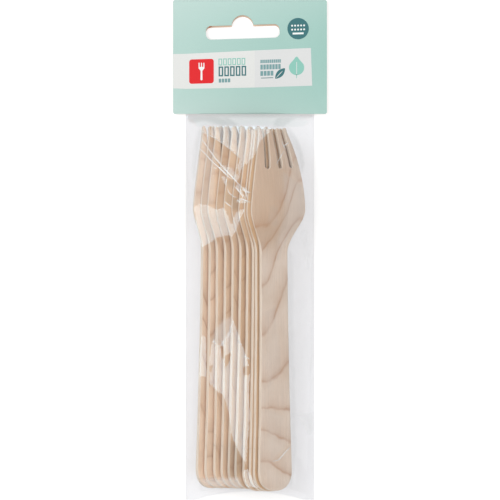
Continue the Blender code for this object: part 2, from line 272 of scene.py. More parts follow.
class NodeSheet:
    """A new material's node tree, with short calls for the nodes that the finishes use."""

    def __init__(self, name: str) -> None:
        """Start an empty tree for a material of that name."""
        self.material = bpy.data.materials.new(name)
        self.material.use_nodes = True
        self.tree = self.material.node_tree
        self.tree.nodes.clear()

    def add(self, kind: str, settings: dict | None = None, **inputs: object) -> bpy.types.Node:
        """Add a node, set its properties and feed its inputs by name.

        Args:
            kind: The node's type.
            settings: Properties to set on the node.
            **inputs: Input values or sockets; a name's underscores stand for spaces.

        Returns:
            The node.
        """
        node = self.tree.nodes.new(kind)
        for key, value in (settings or {}).items():
            setattr(node, key, value)
        for key, value in inputs.items():
            self.feed(node.inputs[key.replace("_", " ")], value)
        return node

    def feed(self, socket: Socket, value: object) -> None:
        """Link a socket to another, or set its value.

        Args:
            socket: The input.
            value: A socket, a number, a vector or a colour.
        """
        if isinstance(value, Socket):
            self.tree.links.new(value, socket)
        elif isinstance(value, tuple) and len(value) == 3 and socket.type == "RGBA":
            socket.default_value = (*value, 1.0)
        else:
            socket.default_value = value

    def result(self, kind: str, settings: dict | None, *values: object) -> Socket:
        """Add a node and feed its inputs in their order.

        Args:
            kind: The node's type.
            settings: Properties to set on the node.
            *values: Input values or sockets.

        Returns:
            The node's first output.
        """
        node = self.add(kind, settings)
        for socket, value in zip(node.inputs, values):
            self.feed(socket, value)
        return node.outputs[0]

    def math(self, operation: str, a: object, b: object = 0.0, c: object = 0.0) -> Socket:
        """Work out a sum with a Math node."""
        return self.result("ShaderNodeMath", {"operation": operation}, a, b, c)

    def fit(self, value: Socket, low: float, high: float, to_low: float, to_high: float) -> Socket:
        """Ease a value that runs from low to high so that it runs from to_low to to_high."""
        settings = {"interpolation_type": "SMOOTHSTEP"}
        return self.result("ShaderNodeMapRange", settings, value, low, high, to_low, to_high)

    def mix(self, share: object, a: Socket, b: Socket) -> Socket:
        """Mix two shaders, with that share of the second."""
        return self.result("ShaderNodeMixShader", None, share, a, b)

    def place(self) -> Socket:
        """Give the place in the piece's own coordinates."""
        return self.add("ShaderNodeTexCoord").outputs["Object"]

    def attribute(self, name: str, output: str = "Fac") -> Socket:
        """Read an attribute of the piece."""
        return self.add("ShaderNodeAttribute", {"attribute_name": name}).outputs[output]

    def blend(self, share: object, a: object, b: object, kind: str = "MIX") -> Socket:
        """Mix two colours.

        Args:
            share: How much of b, from 0 to 1.
            a: The first colour.
            b: The second colour.
            kind: The blend type.

        Returns:
            The mixed colour.
        """
        node = self.add("ShaderNodeMix", {"data_type": "RGBA", "blend_type": kind, "clamp_factor": True})
        for socket, value in zip((node.inputs["Factor"], node.inputs[6], node.inputs[7]), (share, a, b)):
            self.feed(socket, value)
        return node.outputs[2]

    def ramp(self, value: object, *stops: Point2) -> Socket:
        """Map a value through a grey colour ramp.

        Args:
            value: What is mapped.
            *stops: Places from 0 to 1 and the grey at each.

        Returns:
            The grey.
        """
        node = self.add("ShaderNodeValToRGB")
        elements = node.color_ramp.elements
        while len(elements) < len(stops):
            elements.new(0.5)
        for element, (place, grey) in zip(elements, stops):
            element.position = place
            element.color = (grey, grey, grey, 1.0)
        self.feed(node.inputs[0], value)
        return node.outputs[0]

    def noise(self, place: Socket, scale: float | Point3, detail: float = 2.0) -> Socket:
        """Add a noise texture.

        Args:
            place: Its coordinates.
            scale: Its scale, or one for each axis.
            detail: Its detail.

        Returns:
            The noise, from 0 to 1.
        """
        if isinstance(scale, tuple):
            place, scale = self.add("ShaderNodeMapping", Vector=place, Scale=scale).outputs[0], 1.0
        return self.add("ShaderNodeTexNoise", Vector=place, Scale=scale, Detail=detail).outputs["Fac"]

    def close(self, surface: Socket) -> Material:
        """Link the surface's shader and give the finished material."""
        self.tree.links.new(surface, self.add("ShaderNodeOutputMaterial").inputs["Surface"])
        return self.material

    def matt(
        self, colour: Socket, roughness: object, relief: Socket, strength: float, depth: float, gloss: float
    ) -> Material:
        """Close the tree with a rough surface that has a fine relief.

        Args:
            colour: Its colour.
            roughness: Its roughness.
            relief: The relief's height, from 0 to 1.
            strength: How strongly the relief shows.
            depth: How deep the relief is, in metres.
            gloss: Its specular level.

        Returns:
            The material.
        """
        bump = self.add("ShaderNodeBump", Strength=strength, Distance=depth, Height=relief).outputs[0]
        shader = self.add("ShaderNodeBsdfPrincipled", Base_Color=colour, Roughness=roughness, Normal=bump)
        shader.inputs["Specular IOR Level"].default_value = gloss
        return self.close(shader.outputs[0])

    def paper(
        self, colour: object, scale: float, shades: Point2, strength: float, roughness: float
    ) -> Material:
        """Close the tree with paper, whose fine fibres shade its colour and stand out a little.

        Args:
            colour: Its colour.
            scale: How fine the fibres are.
            shades: The darkest and the lightest shade that they give.
            strength: How strongly they stand out.
            roughness: The paper's roughness.

        Returns:
            The material.
        """
        fibre = self.noise(self.place(), scale, 3.0)
        shade = self.ramp(fibre, (0.3, shades[0]), (0.7, shades[1]))
        shaded = self.blend(1.0, colour, shade, "MULTIPLY")
        return self.matt(shaded, roughness, fibre, strength, 0.03 * MM, 0.5)


@dataclass(frozen=True)
class BirchFinish:
    """Rotary-cut birch veneer: cathedral rings, fine fibres and short pores, in millimetres.

    The rings are level lines of the length along the fork, leant over across it. The ladder says at
    which length from the handle's end the rings cross the fork's left side. The ring's profile gives
    how dark it is from its own line up to the next one.
    """

    tone: Colour = linear(236, 217, 199)
    # Painted light: the warm tone stands for light bounced between the forks, mixed in by each fork's warmth.
    painted_bounce_tone: Colour = linear(237, 197, 153)
    ring_tone: Colour = linear(186, 134, 94)
    blotch_tone: Colour = linear(212, 184, 155)
    # Painted shade: this darker tone is laid on one side of the head.
    head_shade_tone: Colour = linear(202, 168, 137)
    ladder: tuple[float, ...] = (0.0, 13.5, 27.0, 36.9, 48.4, 69.6, 90.4, 106.7, 117.1, 160.0)
    profile: tuple[Point2, ...] = (
        (0.0, 0.85), (0.045, 0.5), (0.13, 0.26), (0.38, 0.08),
        (0.7, 0.0), (0.92, 0.14), (0.975, 0.65), (1.0, 0.85),
    )
    # Where the head's painted shade lies along and across it, in millimetres, and how strong it is.
    head_shade_along: Point2 = (98.0, 114.0)
    head_shade_across: Point2 = (-6.0, 9.0)
    head_shade_share: float = 0.75
    head_shade_least: float = 0.2
    lean_along: Point2 = (10.0, 112.0)
    lean: Point2 = (-0.27, 1.1)
    swing_across: Point2 = (-8.0, 11.0)
    swing: float = 27.0
    warp: float = 2.6
    ripple: float = 0.6
    fibre_scale: Point3 = (2.6, 0.06, 1.0)
    pore_scale: Point3 = (5.0, 0.45, 1.0)
    blotch_share: float = 0.38
    pore_share: float = 0.22

    def material(self, name: str, shift: float, mirrored: bool, warmth: float, shade: float) -> Material:
        """Make the face's material for one fork. Its rings are fainter the warmer it is painted.

        Args:
            name: The material's name.
            shift: How far along the fork the rings are moved, in millimetres.
            mirrored: Whether the rings lean to the other side.
            warmth: How much painted warm light, bounced between the forks, is mixed in, from 0 to 1.
            shade: The fork's painted shade as a factor, 1 for the plain tone; above 1 it is painted light.

        Returns:
            The material.
        """
        sheet = NodeSheet(name)
        grain = sheet.attribute("grain", "Vector")
        across, along, _ = sheet.add("ShaderNodeSeparateXYZ", Vector=grain).outputs
        across = sheet.math("MULTIPLY", across, -TO_MM if mirrored else TO_MM)
        along = sheet.math("MULTIPLY_ADD", along, TO_MM, shift)
        settings, start = {"operation": "MULTIPLY_ADD"}, (shift * 3.1, shift * 7.7, 0.0)
        spot = sheet.result("ShaderNodeVectorMath", settings, grain, (TO_MM,) * 3, start)
        rings = self.rings(sheet, spot, across, along)
        fibres = sheet.noise(spot, self.fibre_scale, 4.0)
        pores = sheet.ramp(sheet.noise(spot, self.pore_scale, 1.0), (0.62, 0.0), (0.74, 1.0))
        blotches = sheet.ramp(sheet.noise(spot, 0.055), (0.35, 0.0), (0.68, 1.0))
        # Painted shade: the head is darker towards one side, its left on the top fork, where less light
        # falls.
        low, high = (v + shift for v in self.head_shade_along)
        pressed = sheet.fit(along, low, high, 0.0, self.head_shade_share)
        inner = sheet.fit(across, *self.head_shade_across, 1.0, self.head_shade_least)
        # Painted shade and painted warm bounce light, set by the fork's place in the stack.
        plain = tuple((t + (w - t) * warmth) * shade for t, w in zip(self.tone, self.painted_bounce_tone))
        layers = (
            (sheet.math("MULTIPLY", pressed, inner), self.head_shade_tone, "MIX"),
            (sheet.math("MULTIPLY", blotches, self.blotch_share), self.blotch_tone, "MIX"),
            (sheet.math("MULTIPLY", rings, 0.95 - 0.55 * warmth), self.ring_tone, "MIX"),
            (1.0, sheet.ramp(fibres, (0.25, 0.91), (0.75, 1.05)), "MULTIPLY"),
            (sheet.math("MULTIPLY", pores, self.pore_share), self.ring_tone, "MIX"),
        )
        colour = plain
        for share, tone, kind in layers:
            colour = sheet.blend(share, colour, tone, kind)
        relief = sheet.math("MULTIPLY_ADD", pores, -0.6, fibres)
        rough = sheet.math("MULTIPLY_ADD", fibres, 0.16, 0.56)
        return sheet.matt(colour, rough, relief, 0.18, 0.06 * MM, 0.3)

    def rings(self, sheet: NodeSheet, spot: Socket, across: Socket, along: Socket) -> Socket:
        """Draw the growth rings: a thin dark line with a soft side to each.

        Args:
            sheet: The material's nodes.
            spot: The place on the fork, in millimetres.
            across: The place across the fork.
            along: The place along it.

        Returns:
            How much ring there is, from 0 to 1.
        """
        turn = sheet.fit(along, *self.lean_along, *self.lean)
        lean = sheet.math("MULTIPLY", turn, sheet.fit(across, *self.swing_across, 0.0, self.swing))
        wander = sheet.math("MULTIPLY_ADD", sheet.noise(spot, 0.07), self.warp * 2, -self.warp)
        ripple = sheet.math("MULTIPLY_ADD", sheet.noise(spot, 0.35), self.ripple * 2, -self.ripple)
        level = sheet.math("SUBTRACT", sheet.math("ADD", along, wander), lean)
        level = sheet.math("ADD", level, ripple)
        reach, last = self.ladder[-1], len(self.ladder) - 1
        curve = sheet.add("ShaderNodeFloatCurve")
        points = curve.mapping.curves[0].points
        while len(points) <= last:
            points.new(0.5, 0.5)
        for k, (point, rung) in enumerate(zip(points, self.ladder)):
            point.location = (rung / reach, k / last)
            point.handle_type = "AUTO_CLAMPED"
        curve.mapping.update()
        wrapped = sheet.math("WRAP", level, reach, 0.0)
        sheet.feed(curve.inputs["Value"], sheet.math("DIVIDE", wrapped, reach))
        step = sheet.math("FRACT", sheet.math("MULTIPLY", curve.outputs[0], float(last)))
        fade = sheet.ramp(sheet.noise(spot, 0.12, 1.0), (0.3, 0.45), (0.65, 1.0))
        return sheet.math("MULTIPLY", sheet.ramp(step, *self.profile), fade)


@dataclass(frozen=True)
class CutBirchFinish:
    """Die-cut birch edge: paler than the faces, with lines of the veneer's fibres along it."""

    tone: Colour = linear(234, 219, 201)
    line_tone: Colour = linear(208, 182, 155)
    line_scale: Point3 = (300.0, 120.0, 3200.0)

    def material(self, name: str) -> Material:
        """Make the material.

        Args:
            name: Its name.

        Returns:
            The material.
        """
        sheet = NodeSheet(name)
        lines = sheet.noise(sheet.attribute("grain", "Vector"), self.line_scale, 3.0)
        colour = sheet.blend(sheet.ramp(lines, (0.42, 0.0), (0.72, 0.7)), self.tone, self.line_tone)
        return sheet.matt(colour, 0.74, lines, 0.25, 0.06 * MM, 0.25)


@dataclass(frozen=True)
class FilmFinish:
    """Clear glossy plastic film, a little milky, with painted shade and painted sheen where marked."""

    tone: Colour = linear(250, 250, 251)
    # Painted shade: the darker tone that marked parts of the film take, for shadow and shade.
    film_shade_tone: Colour = linear(222, 223, 223)
    veil_tone: Colour = (0.86, 0.87, 0.87)
    gloss: float = 0.06
    edge_gloss: float = 0.42
    haze: float = 0.02
    roughness: float = 0.07

    def material(self, name: str) -> Material:
        """Make the material.

        Args:
            name: Its name.

        Returns:
            The material.
        """
        sheet = NodeSheet(name)
        # Painted shade: marked parts of the film let less through, as shadow and shade.
        tone = sheet.blend(sheet.attribute("folds"), self.tone, self.film_shade_tone)
        clear = sheet.add("ShaderNodeBsdfTransparent", Color=tone)
        facing = sheet.add("ShaderNodeLayerWeight", Blend=0.35).outputs["Facing"]
        gloss = sheet.math("MULTIPLY_ADD", sheet.math("POWER", facing, 3.0), self.edge_gloss, self.gloss)
        mirror = sheet.add("ShaderNodeBsdfPrincipled", Metallic=1.0, Roughness=self.roughness)
        sheet.feed(mirror.inputs["Base Color"], WHITE)
        glossy = sheet.mix(gloss, clear.outputs[0], mirror.outputs[0])
        cloud = sheet.ramp(sheet.noise(sheet.place(), 55.0, 3.0), (0.3, 0.5), (0.7, 1.5))
        veil = sheet.add("ShaderNodeBsdfPrincipled", Base_Color=self.veil_tone, Roughness=0.5)
        # Painted sheen: marked parts of the film get more of the pale veil, over its slight even milkiness.
        share = sheet.math("MULTIPLY_ADD", cloud, self.haze, sheet.attribute("haze"))
        return sheet.close(sheet.mix(share, glossy, veil.outputs[0]))


@dataclass(frozen=True)
class CardFinish:
    """Printed board: a satin tint over fine paper grain, a little paler to the left."""

    left: Colour = linear(186, 210, 203)
    right: Colour = linear(153, 193, 183)
    deepest_y: float = 85.3 * MM
    deep_reach: float = 22.0 * MM
    slope: float = 9.7
    middle_share: float = 0.6
    falling_off: float = 0.28
    clouds: float = 0.08

    def material(self, name: str) -> Material:
        """Make the material.

        Args:
            name: Its name.

        Returns:
            The material.
        """
        sheet = NodeSheet(name)
        place = sheet.place()
        across, up, _ = sheet.add("ShaderNodeSeparateXYZ", Vector=place).outputs
        middle = sheet.math("DIVIDE", sheet.math("SUBTRACT", up, self.deepest_y), self.deep_reach)
        share = sheet.math("MULTIPLY_ADD", across, self.slope, self.middle_share)
        square = sheet.math("MULTIPLY", middle, middle)
        share = sheet.math("MULTIPLY_ADD", square, -self.falling_off, share)
        cloud = sheet.math("MULTIPLY_ADD", sheet.noise(place, 35.0), self.clouds * 2, -self.clouds)
        colour = sheet.blend(sheet.math("ADD", share, cloud), self.left, self.right)
        return sheet.paper(colour, 2600.0, (0.965, 1.02), 0.15, 0.55)


@dataclass(frozen=True)
class PlainFinish:
    """An even colour with fine paper grain, for inks and for the board's kraft core."""

    tone: Colour
    roughness: float
    grain: float

    def material(self, name: str) -> Material:
        """Make the material of that name."""
        return NodeSheet(name).paper(self.tone, 2200.0, (1.0 - self.grain, 1.0), 0.12, self.roughness)


@dataclass
class Fork:
    """A pressed veneer fork, face up, with its handle's end at the origin and its tines towards +Y.

    A place on the fork is given by u across it and v along it from the handle's end.
    """

    length: float = 160.0 * MM
    thickness: float = 1.6 * MM
    end_half_width: float = 9.2 * MM
    end_round: float = 9.0 * MM
    end_squareness: float = 2.3
    neck_half_width: float = 7.5 * MM
    neck_to_tips: float = 55.0 * MM
    widest_to_tips: float = 36.0 * MM
    head_half_width: float = 15.5 * MM
    tips_half_width: float = 7.2 * MM
    taper_power: float = 1.6
    rise: float = 6.4 * MM
    dome: float = 3.5 * MM
    tips_drop: float = 0.2 * MM
    tines: int = 4
    slot_length: float = 17.7 * MM
    slot_half_width: float = 1.35 * MM
    tip_gap_half_width: float = 1.4 * MM
    root_pitch: float = 6.7 * MM
    mouth_pitch: float = 4.6 * MM
    tip_round: float = 2.1 * MM
    head_step: float = 1.6 * MM
    handle_step: float = 5.0 * MM
    rim: float = 0.16 * MM
    waver: float = 0.13 * MM
    waver_length: float = 14.0 * MM

    @property
    def neck(self) -> float:
        """Give how far along the fork its neck is."""
        return self.length - self.neck_to_tips

    def half_width(self, v: float) -> float:
        """Give half the fork's width.

        Args:
            v: The place along the fork.

        Returns:
            Half the width there.
        """
        to_tips = self.length - v
        if v < self.end_round:
            short = (self.end_round - max(v, 0.0)) / self.end_round
            return self.end_half_width * (1 - short**self.end_squareness) ** (1 / self.end_squareness)
        if to_tips > self.neck_to_tips:
            share = (v - self.end_round) / (self.neck - self.end_round)
            return self.neck_half_width + (self.end_half_width - self.neck_half_width) * (1 - share) ** 2
        if to_tips > self.widest_to_tips:
            share = (self.neck_to_tips - to_tips) / (self.neck_to_tips - self.widest_to_tips)
            return self.neck_half_width + (self.head_half_width - self.neck_half_width) * ease(share)
        share = 1 - max(to_tips, 0.0) / self.widest_to_tips
        drawn_in = self.head_half_width - self.tips_half_width
        return self.head_half_width - drawn_in * share**self.taper_power

    def height(self, u: float, v: float) -> float:
        """Give the bent face's height: the head bows out and domes across, and its tips dip.

        Args:
            u: The place across the fork.
            v: The place along it.

        Returns:
            The height there.
        """
        to_tips = self.length - v
        past_neck = (self.neck_to_tips - to_tips) / (self.neck_to_tips - self.widest_to_tips)
        dip = max(1 - to_tips / self.widest_to_tips, 0.0)
        rise = self.rise * ease(past_neck) - (self.rise + self.tips_drop) * dip * dip
        return rise - self.dome * ease(2 * past_neck) * (u / self.head_half_width) ** 2

    def pressed(self, place: Vector) -> Vector:
        """Bend a point of the flat blank, with its depth kept square to the bent face.

        Args:
            place: The point, its depth below the face as a negative z.

        Returns:
            Where the point goes.
        """
        u, v, depth = place
        across = (self.height(u + NEAR, v) - self.height(u - NEAR, v)) / (2 * NEAR)
        along = (self.height(u, v + NEAR) - self.height(u, v - NEAR)) / (2 * NEAR)
        return Vector((u, v, self.height(u, v))) + Vector((-across, -along, 1.0)).normalized() * depth

    def side(self) -> list[Point2]:
        """Trace the right-hand edge from the middle of the handle's end up to the outer tine's tip.

        Returns:
            The points, as across and along.
        """
        end = []
        for angle in np.linspace(0.0, QUARTER, 17):
            out = math.sin(angle) ** (2 / self.end_squareness)
            along = 1 - math.cos(angle) ** (2 / self.end_squareness)
            end.append((self.end_half_width * out, self.end_round * along))
        steps = round((self.neck - self.end_round) / self.handle_step)
        handle = list(np.linspace(self.end_round, self.neck, steps + 1))[1:]
        steps = round(self.neck_to_tips / self.head_step)
        head = list(np.linspace(self.neck, self.length - self.tip_round, steps))[1:-1]
        return end + [(self.half_width(v), v) for v in handle + head]

    def comb(self) -> list[Point2]:
        """Trace the tine tips and the slots' round roots, from the right-hand side to the left.

        Returns:
            The points, as across and along.
        """
        slots, radius = self.tines - 1, self.slot_half_width
        tip = self.length - self.tip_round
        root = self.length - self.slot_length + radius
        share = self.tip_round / (self.slot_length - radius)
        mouth = self.mouth_pitch + (self.root_pitch - self.mouth_pitch) * share
        points = []
        for k in range(self.tines):
            place = (slots - 1) / 2 - k
            right = self.half_width(tip) if k == 0 else (place + 1) * mouth - self.tip_gap_half_width
            left = -self.half_width(tip) if k == slots else place * mouth + self.tip_gap_half_width
            points += arc(((right + left) / 2, tip), ((right - left) / 2, self.tip_round), 0.0, math.pi, 12)
            if k < slots:
                points += arc((place * self.root_pitch, root), (radius, radius), 0.0, -math.pi, 8)
        return points

    def build(self) -> Piece:
        """Model the fork: a flat outline, scored both ways, given its thickness, rimmed and pressed.

        Returns:
            The fork, with the flat place of each point kept in the attribute grain.
        """
        right = self.side()
        left = [(-u, v) for u, v in reversed(right[1:])]
        blank = outlined(right + self.comb() + left, -self.thickness)
        mesh = blank.data
        mesh.materials.append(None)
        mesh.materials.append(None)
        handle_lines = np.arange(self.end_round, self.neck - self.handle_step / 2, self.handle_step)
        head_lines = np.arange(self.neck, self.length - self.head_step, self.head_step)
        scores = [((0, v, 0), (0, 1, 0)) for v in [*handle_lines, *head_lines]]
        scores += [((u, 0, 0), (1, 0, 0)) for u in np.arange(-8, 9) * (self.head_half_width / 9)]
        enter_edit(blank)
        for place, normal in scores:
            bpy.ops.mesh.select_all(action="SELECT")
            bpy.ops.mesh.bisect(plane_co=place, plane_no=normal)
        thicken(blank, (0, 0, self.thickness))
        enter_edit(blank, "DESELECT")
        bpy.ops.mesh.edges_select_sharp(sharpness=math.radians(60))
        bpy.ops.mesh.bevel(offset=self.rim, segments=2, profile=0.5, affect="EDGES")
        bpy.ops.object.mode_set(mode="OBJECT")
        sides = [0 if abs(face.normal.z) > 0.98 else 1 for face in mesh.polygons]
        grain = mesh.attributes.new("grain", "FLOAT_VECTOR", "POINT")
        for vert, value in zip(mesh.vertices, grain.data):
            value.vector = vert.co
        for vert in mesh.vertices:
            vert.co = self.pressed(vert.co)
        bpy.ops.object.shade_smooth_by_angle(angle=math.radians(28))
        mesh.polygons.foreach_set("material_index", sides)
        return blank


@dataclass
class ForkFan:
    """Ten forks nested on their tilted stack, each turned a little from the one above it.

    The top fork is plain. The forks under it are painted darker and warmer, as painted shade and
    painted light bounced between them; down the stack this fades and they are painted lighter.
    """

    tilt: float = math.radians(40.0)
    pitch: float = math.radians(2.0)
    top_turn: float = 0.5
    turns: tuple[float, ...] = (0.2, 0.4, 0.3, 0.3, -0.3, -0.2, -0.3, 0.6, 0.3)
    grain_shifts: tuple[float, ...] = (0.0, 31.0, 67.0, 12.0, 95.0, 48.0, 120.0, 77.0, 23.0, 58.0)
    # Painted warm bounce light and painted shade for the forks under the top one, by their place in the
    # stack.
    warmest_painted_bounce: float = 1.14
    painted_bounce_step: float = 0.085
    painted_bounce_sway: float = 0.05
    darkest: float = 0.76
    painted_shade_step: float = 0.045
    fork: Fork = field(default_factory=Fork)
    face: BirchFinish = field(default_factory=BirchFinish)
    cut: CutBirchFinish = field(default_factory=CutBirchFinish)

    def build(self) -> None:
        """Model one fork, copy it for each place in the fan, the top one first, and dress the copies."""
        pattern = self.fork.build()
        edge = self.cut.material("birch_cut_edge")
        stack = Matrix.Rotation(self.pitch, 4, "X") @ Matrix.Rotation(self.tilt, 4, "Y")
        turn = math.radians(self.top_turn)
        for k, shift in enumerate(self.grain_shifts):
            if k:
                turn -= math.radians(self.turns[k - 1])
            node = f"fork_{len(self.grain_shifts) - k:02d}"
            fork = pattern.copy()
            fork.data = pattern.data.copy()
            bpy.context.scene.collection.objects.link(fork)
            self.waver(fork.data, k)
            turned = stack @ Matrix.Rotation(turn, 4, "Z")
            fork.data.transform(turned)
            self.seat(fork.data, node, turned)
            # Painted light: each lower fork's warmth and shade are its painted bounce light and painted
            # shade.
            sway = self.painted_bounce_sway * math.sin(2.1 * k)
            warmth = self.warmest_painted_bounce - self.painted_bounce_step * k + sway if k else 0.0
            shade = self.darkest + self.painted_shade_step * k if k else 1.0
            fork.data.materials[0] = self.face.material(f"birch_{node}", shift, k % 2 == 1, warmth, shade)
            fork.data.materials[1] = edge
            finish_piece(fork, f"birch_{node}", node)
        bpy.data.objects.remove(pattern)

    def waver(self, mesh: Mesh, number: int) -> None:
        """Let a fork's sides waver as a die-cut veneer's do.

        Args:
            mesh: The fork's mesh, still at the origin.
            number: Which fork it is.
        """
        for vert in mesh.vertices:
            u, v = vert.co.x, vert.co.y
            share = min(abs(u) / self.fork.neck_half_width, 1.0)
            side = 50.0 if u > 0 else 0.0
            value = noise.noise(Vector((v / self.fork.waver_length, side, number * 9.3)))
            vert.co.x += math.copysign(self.fork.waver * share * value, u)

    def seat(self, mesh: Mesh, node: str, turned: Matrix) -> None:
        """Move a fork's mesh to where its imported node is, whose sides are upright and not square.

        Args:
            mesh: The fork's mesh, turned as it lies.
            node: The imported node's name.
            turned: How it is turned.
        """
        low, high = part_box(node)
        flat = np.array([value.vector for value in mesh.attributes["grain"].data])
        flat[:, 2] += [self.fork.height(u, v) for u, v in flat[:, :2]]
        points = flat @ np.array(turned.to_3x3()).T
        middle = (points.min(0) + points.max(0)) / 2
        mesh.transform(Matrix.Translation((low + high) / 2 - Vector(middle)))


@dataclass(frozen=True)
class Patch:
    """A part of the film with an outline of its own, in photograph pixels.

    It is a flat facet that mirrors the window panel, a gap in one, or a part with painted sheen or
    painted shade, by its strength.
    """

    outline: tuple[Point2, ...]
    strength: float = 1.0

    def share(self, gx: np.ndarray, gy: np.ndarray) -> np.ndarray:
        """Tell which points of a grid lie inside the outline.

        Args:
            gx: The points' x.
            gy: Their y.

        Returns:
            The patch's strength inside, 0 outside.
        """
        corners = [at(*p) for p in self.outline]
        inside = np.zeros(gx.shape, bool)
        for (ax, ay), (bx, by) in zip(corners, corners[1:] + corners[:1]):
            if ay != by:
                crossing = (ay > gy) != (by > gy)
                inside ^= crossing & (gx < ax + (bx - ax) * (gy - ay) / (by - ay))
        return inside * self.strength


@dataclass(frozen=True)
class Crease:
    """A sharp crease in the film, as a line of photograph pixels."""

    line: tuple[Point2, ...]
    half_width: float

    def share(self, gx: np.ndarray, gy: np.ndarray) -> np.ndarray:
        """Tell how near the points of a grid are to the crease.

        Args:
            gx: The points' x.
            gy: Their y.

        Returns:
            1 on the crease, falling to 0 beside it.
        """
        corners = [at(*p) for p in self.line]
        nearest = np.full(gx.shape, 1.0)
        for (ax, ay), (bx, by) in zip(corners, corners[1:]):
            dx, dy = bx - ax, by - ay
            along = np.clip(((gx - ax) * dx + (gy - ay) * dy) / (dx * dx + dy * dy), 0, 1)
            nearest = np.minimum(nearest, np.hypot(gx - ax - along * dx, gy - ay - along * dy))
        return np.exp(-((nearest / self.half_width) ** 2))


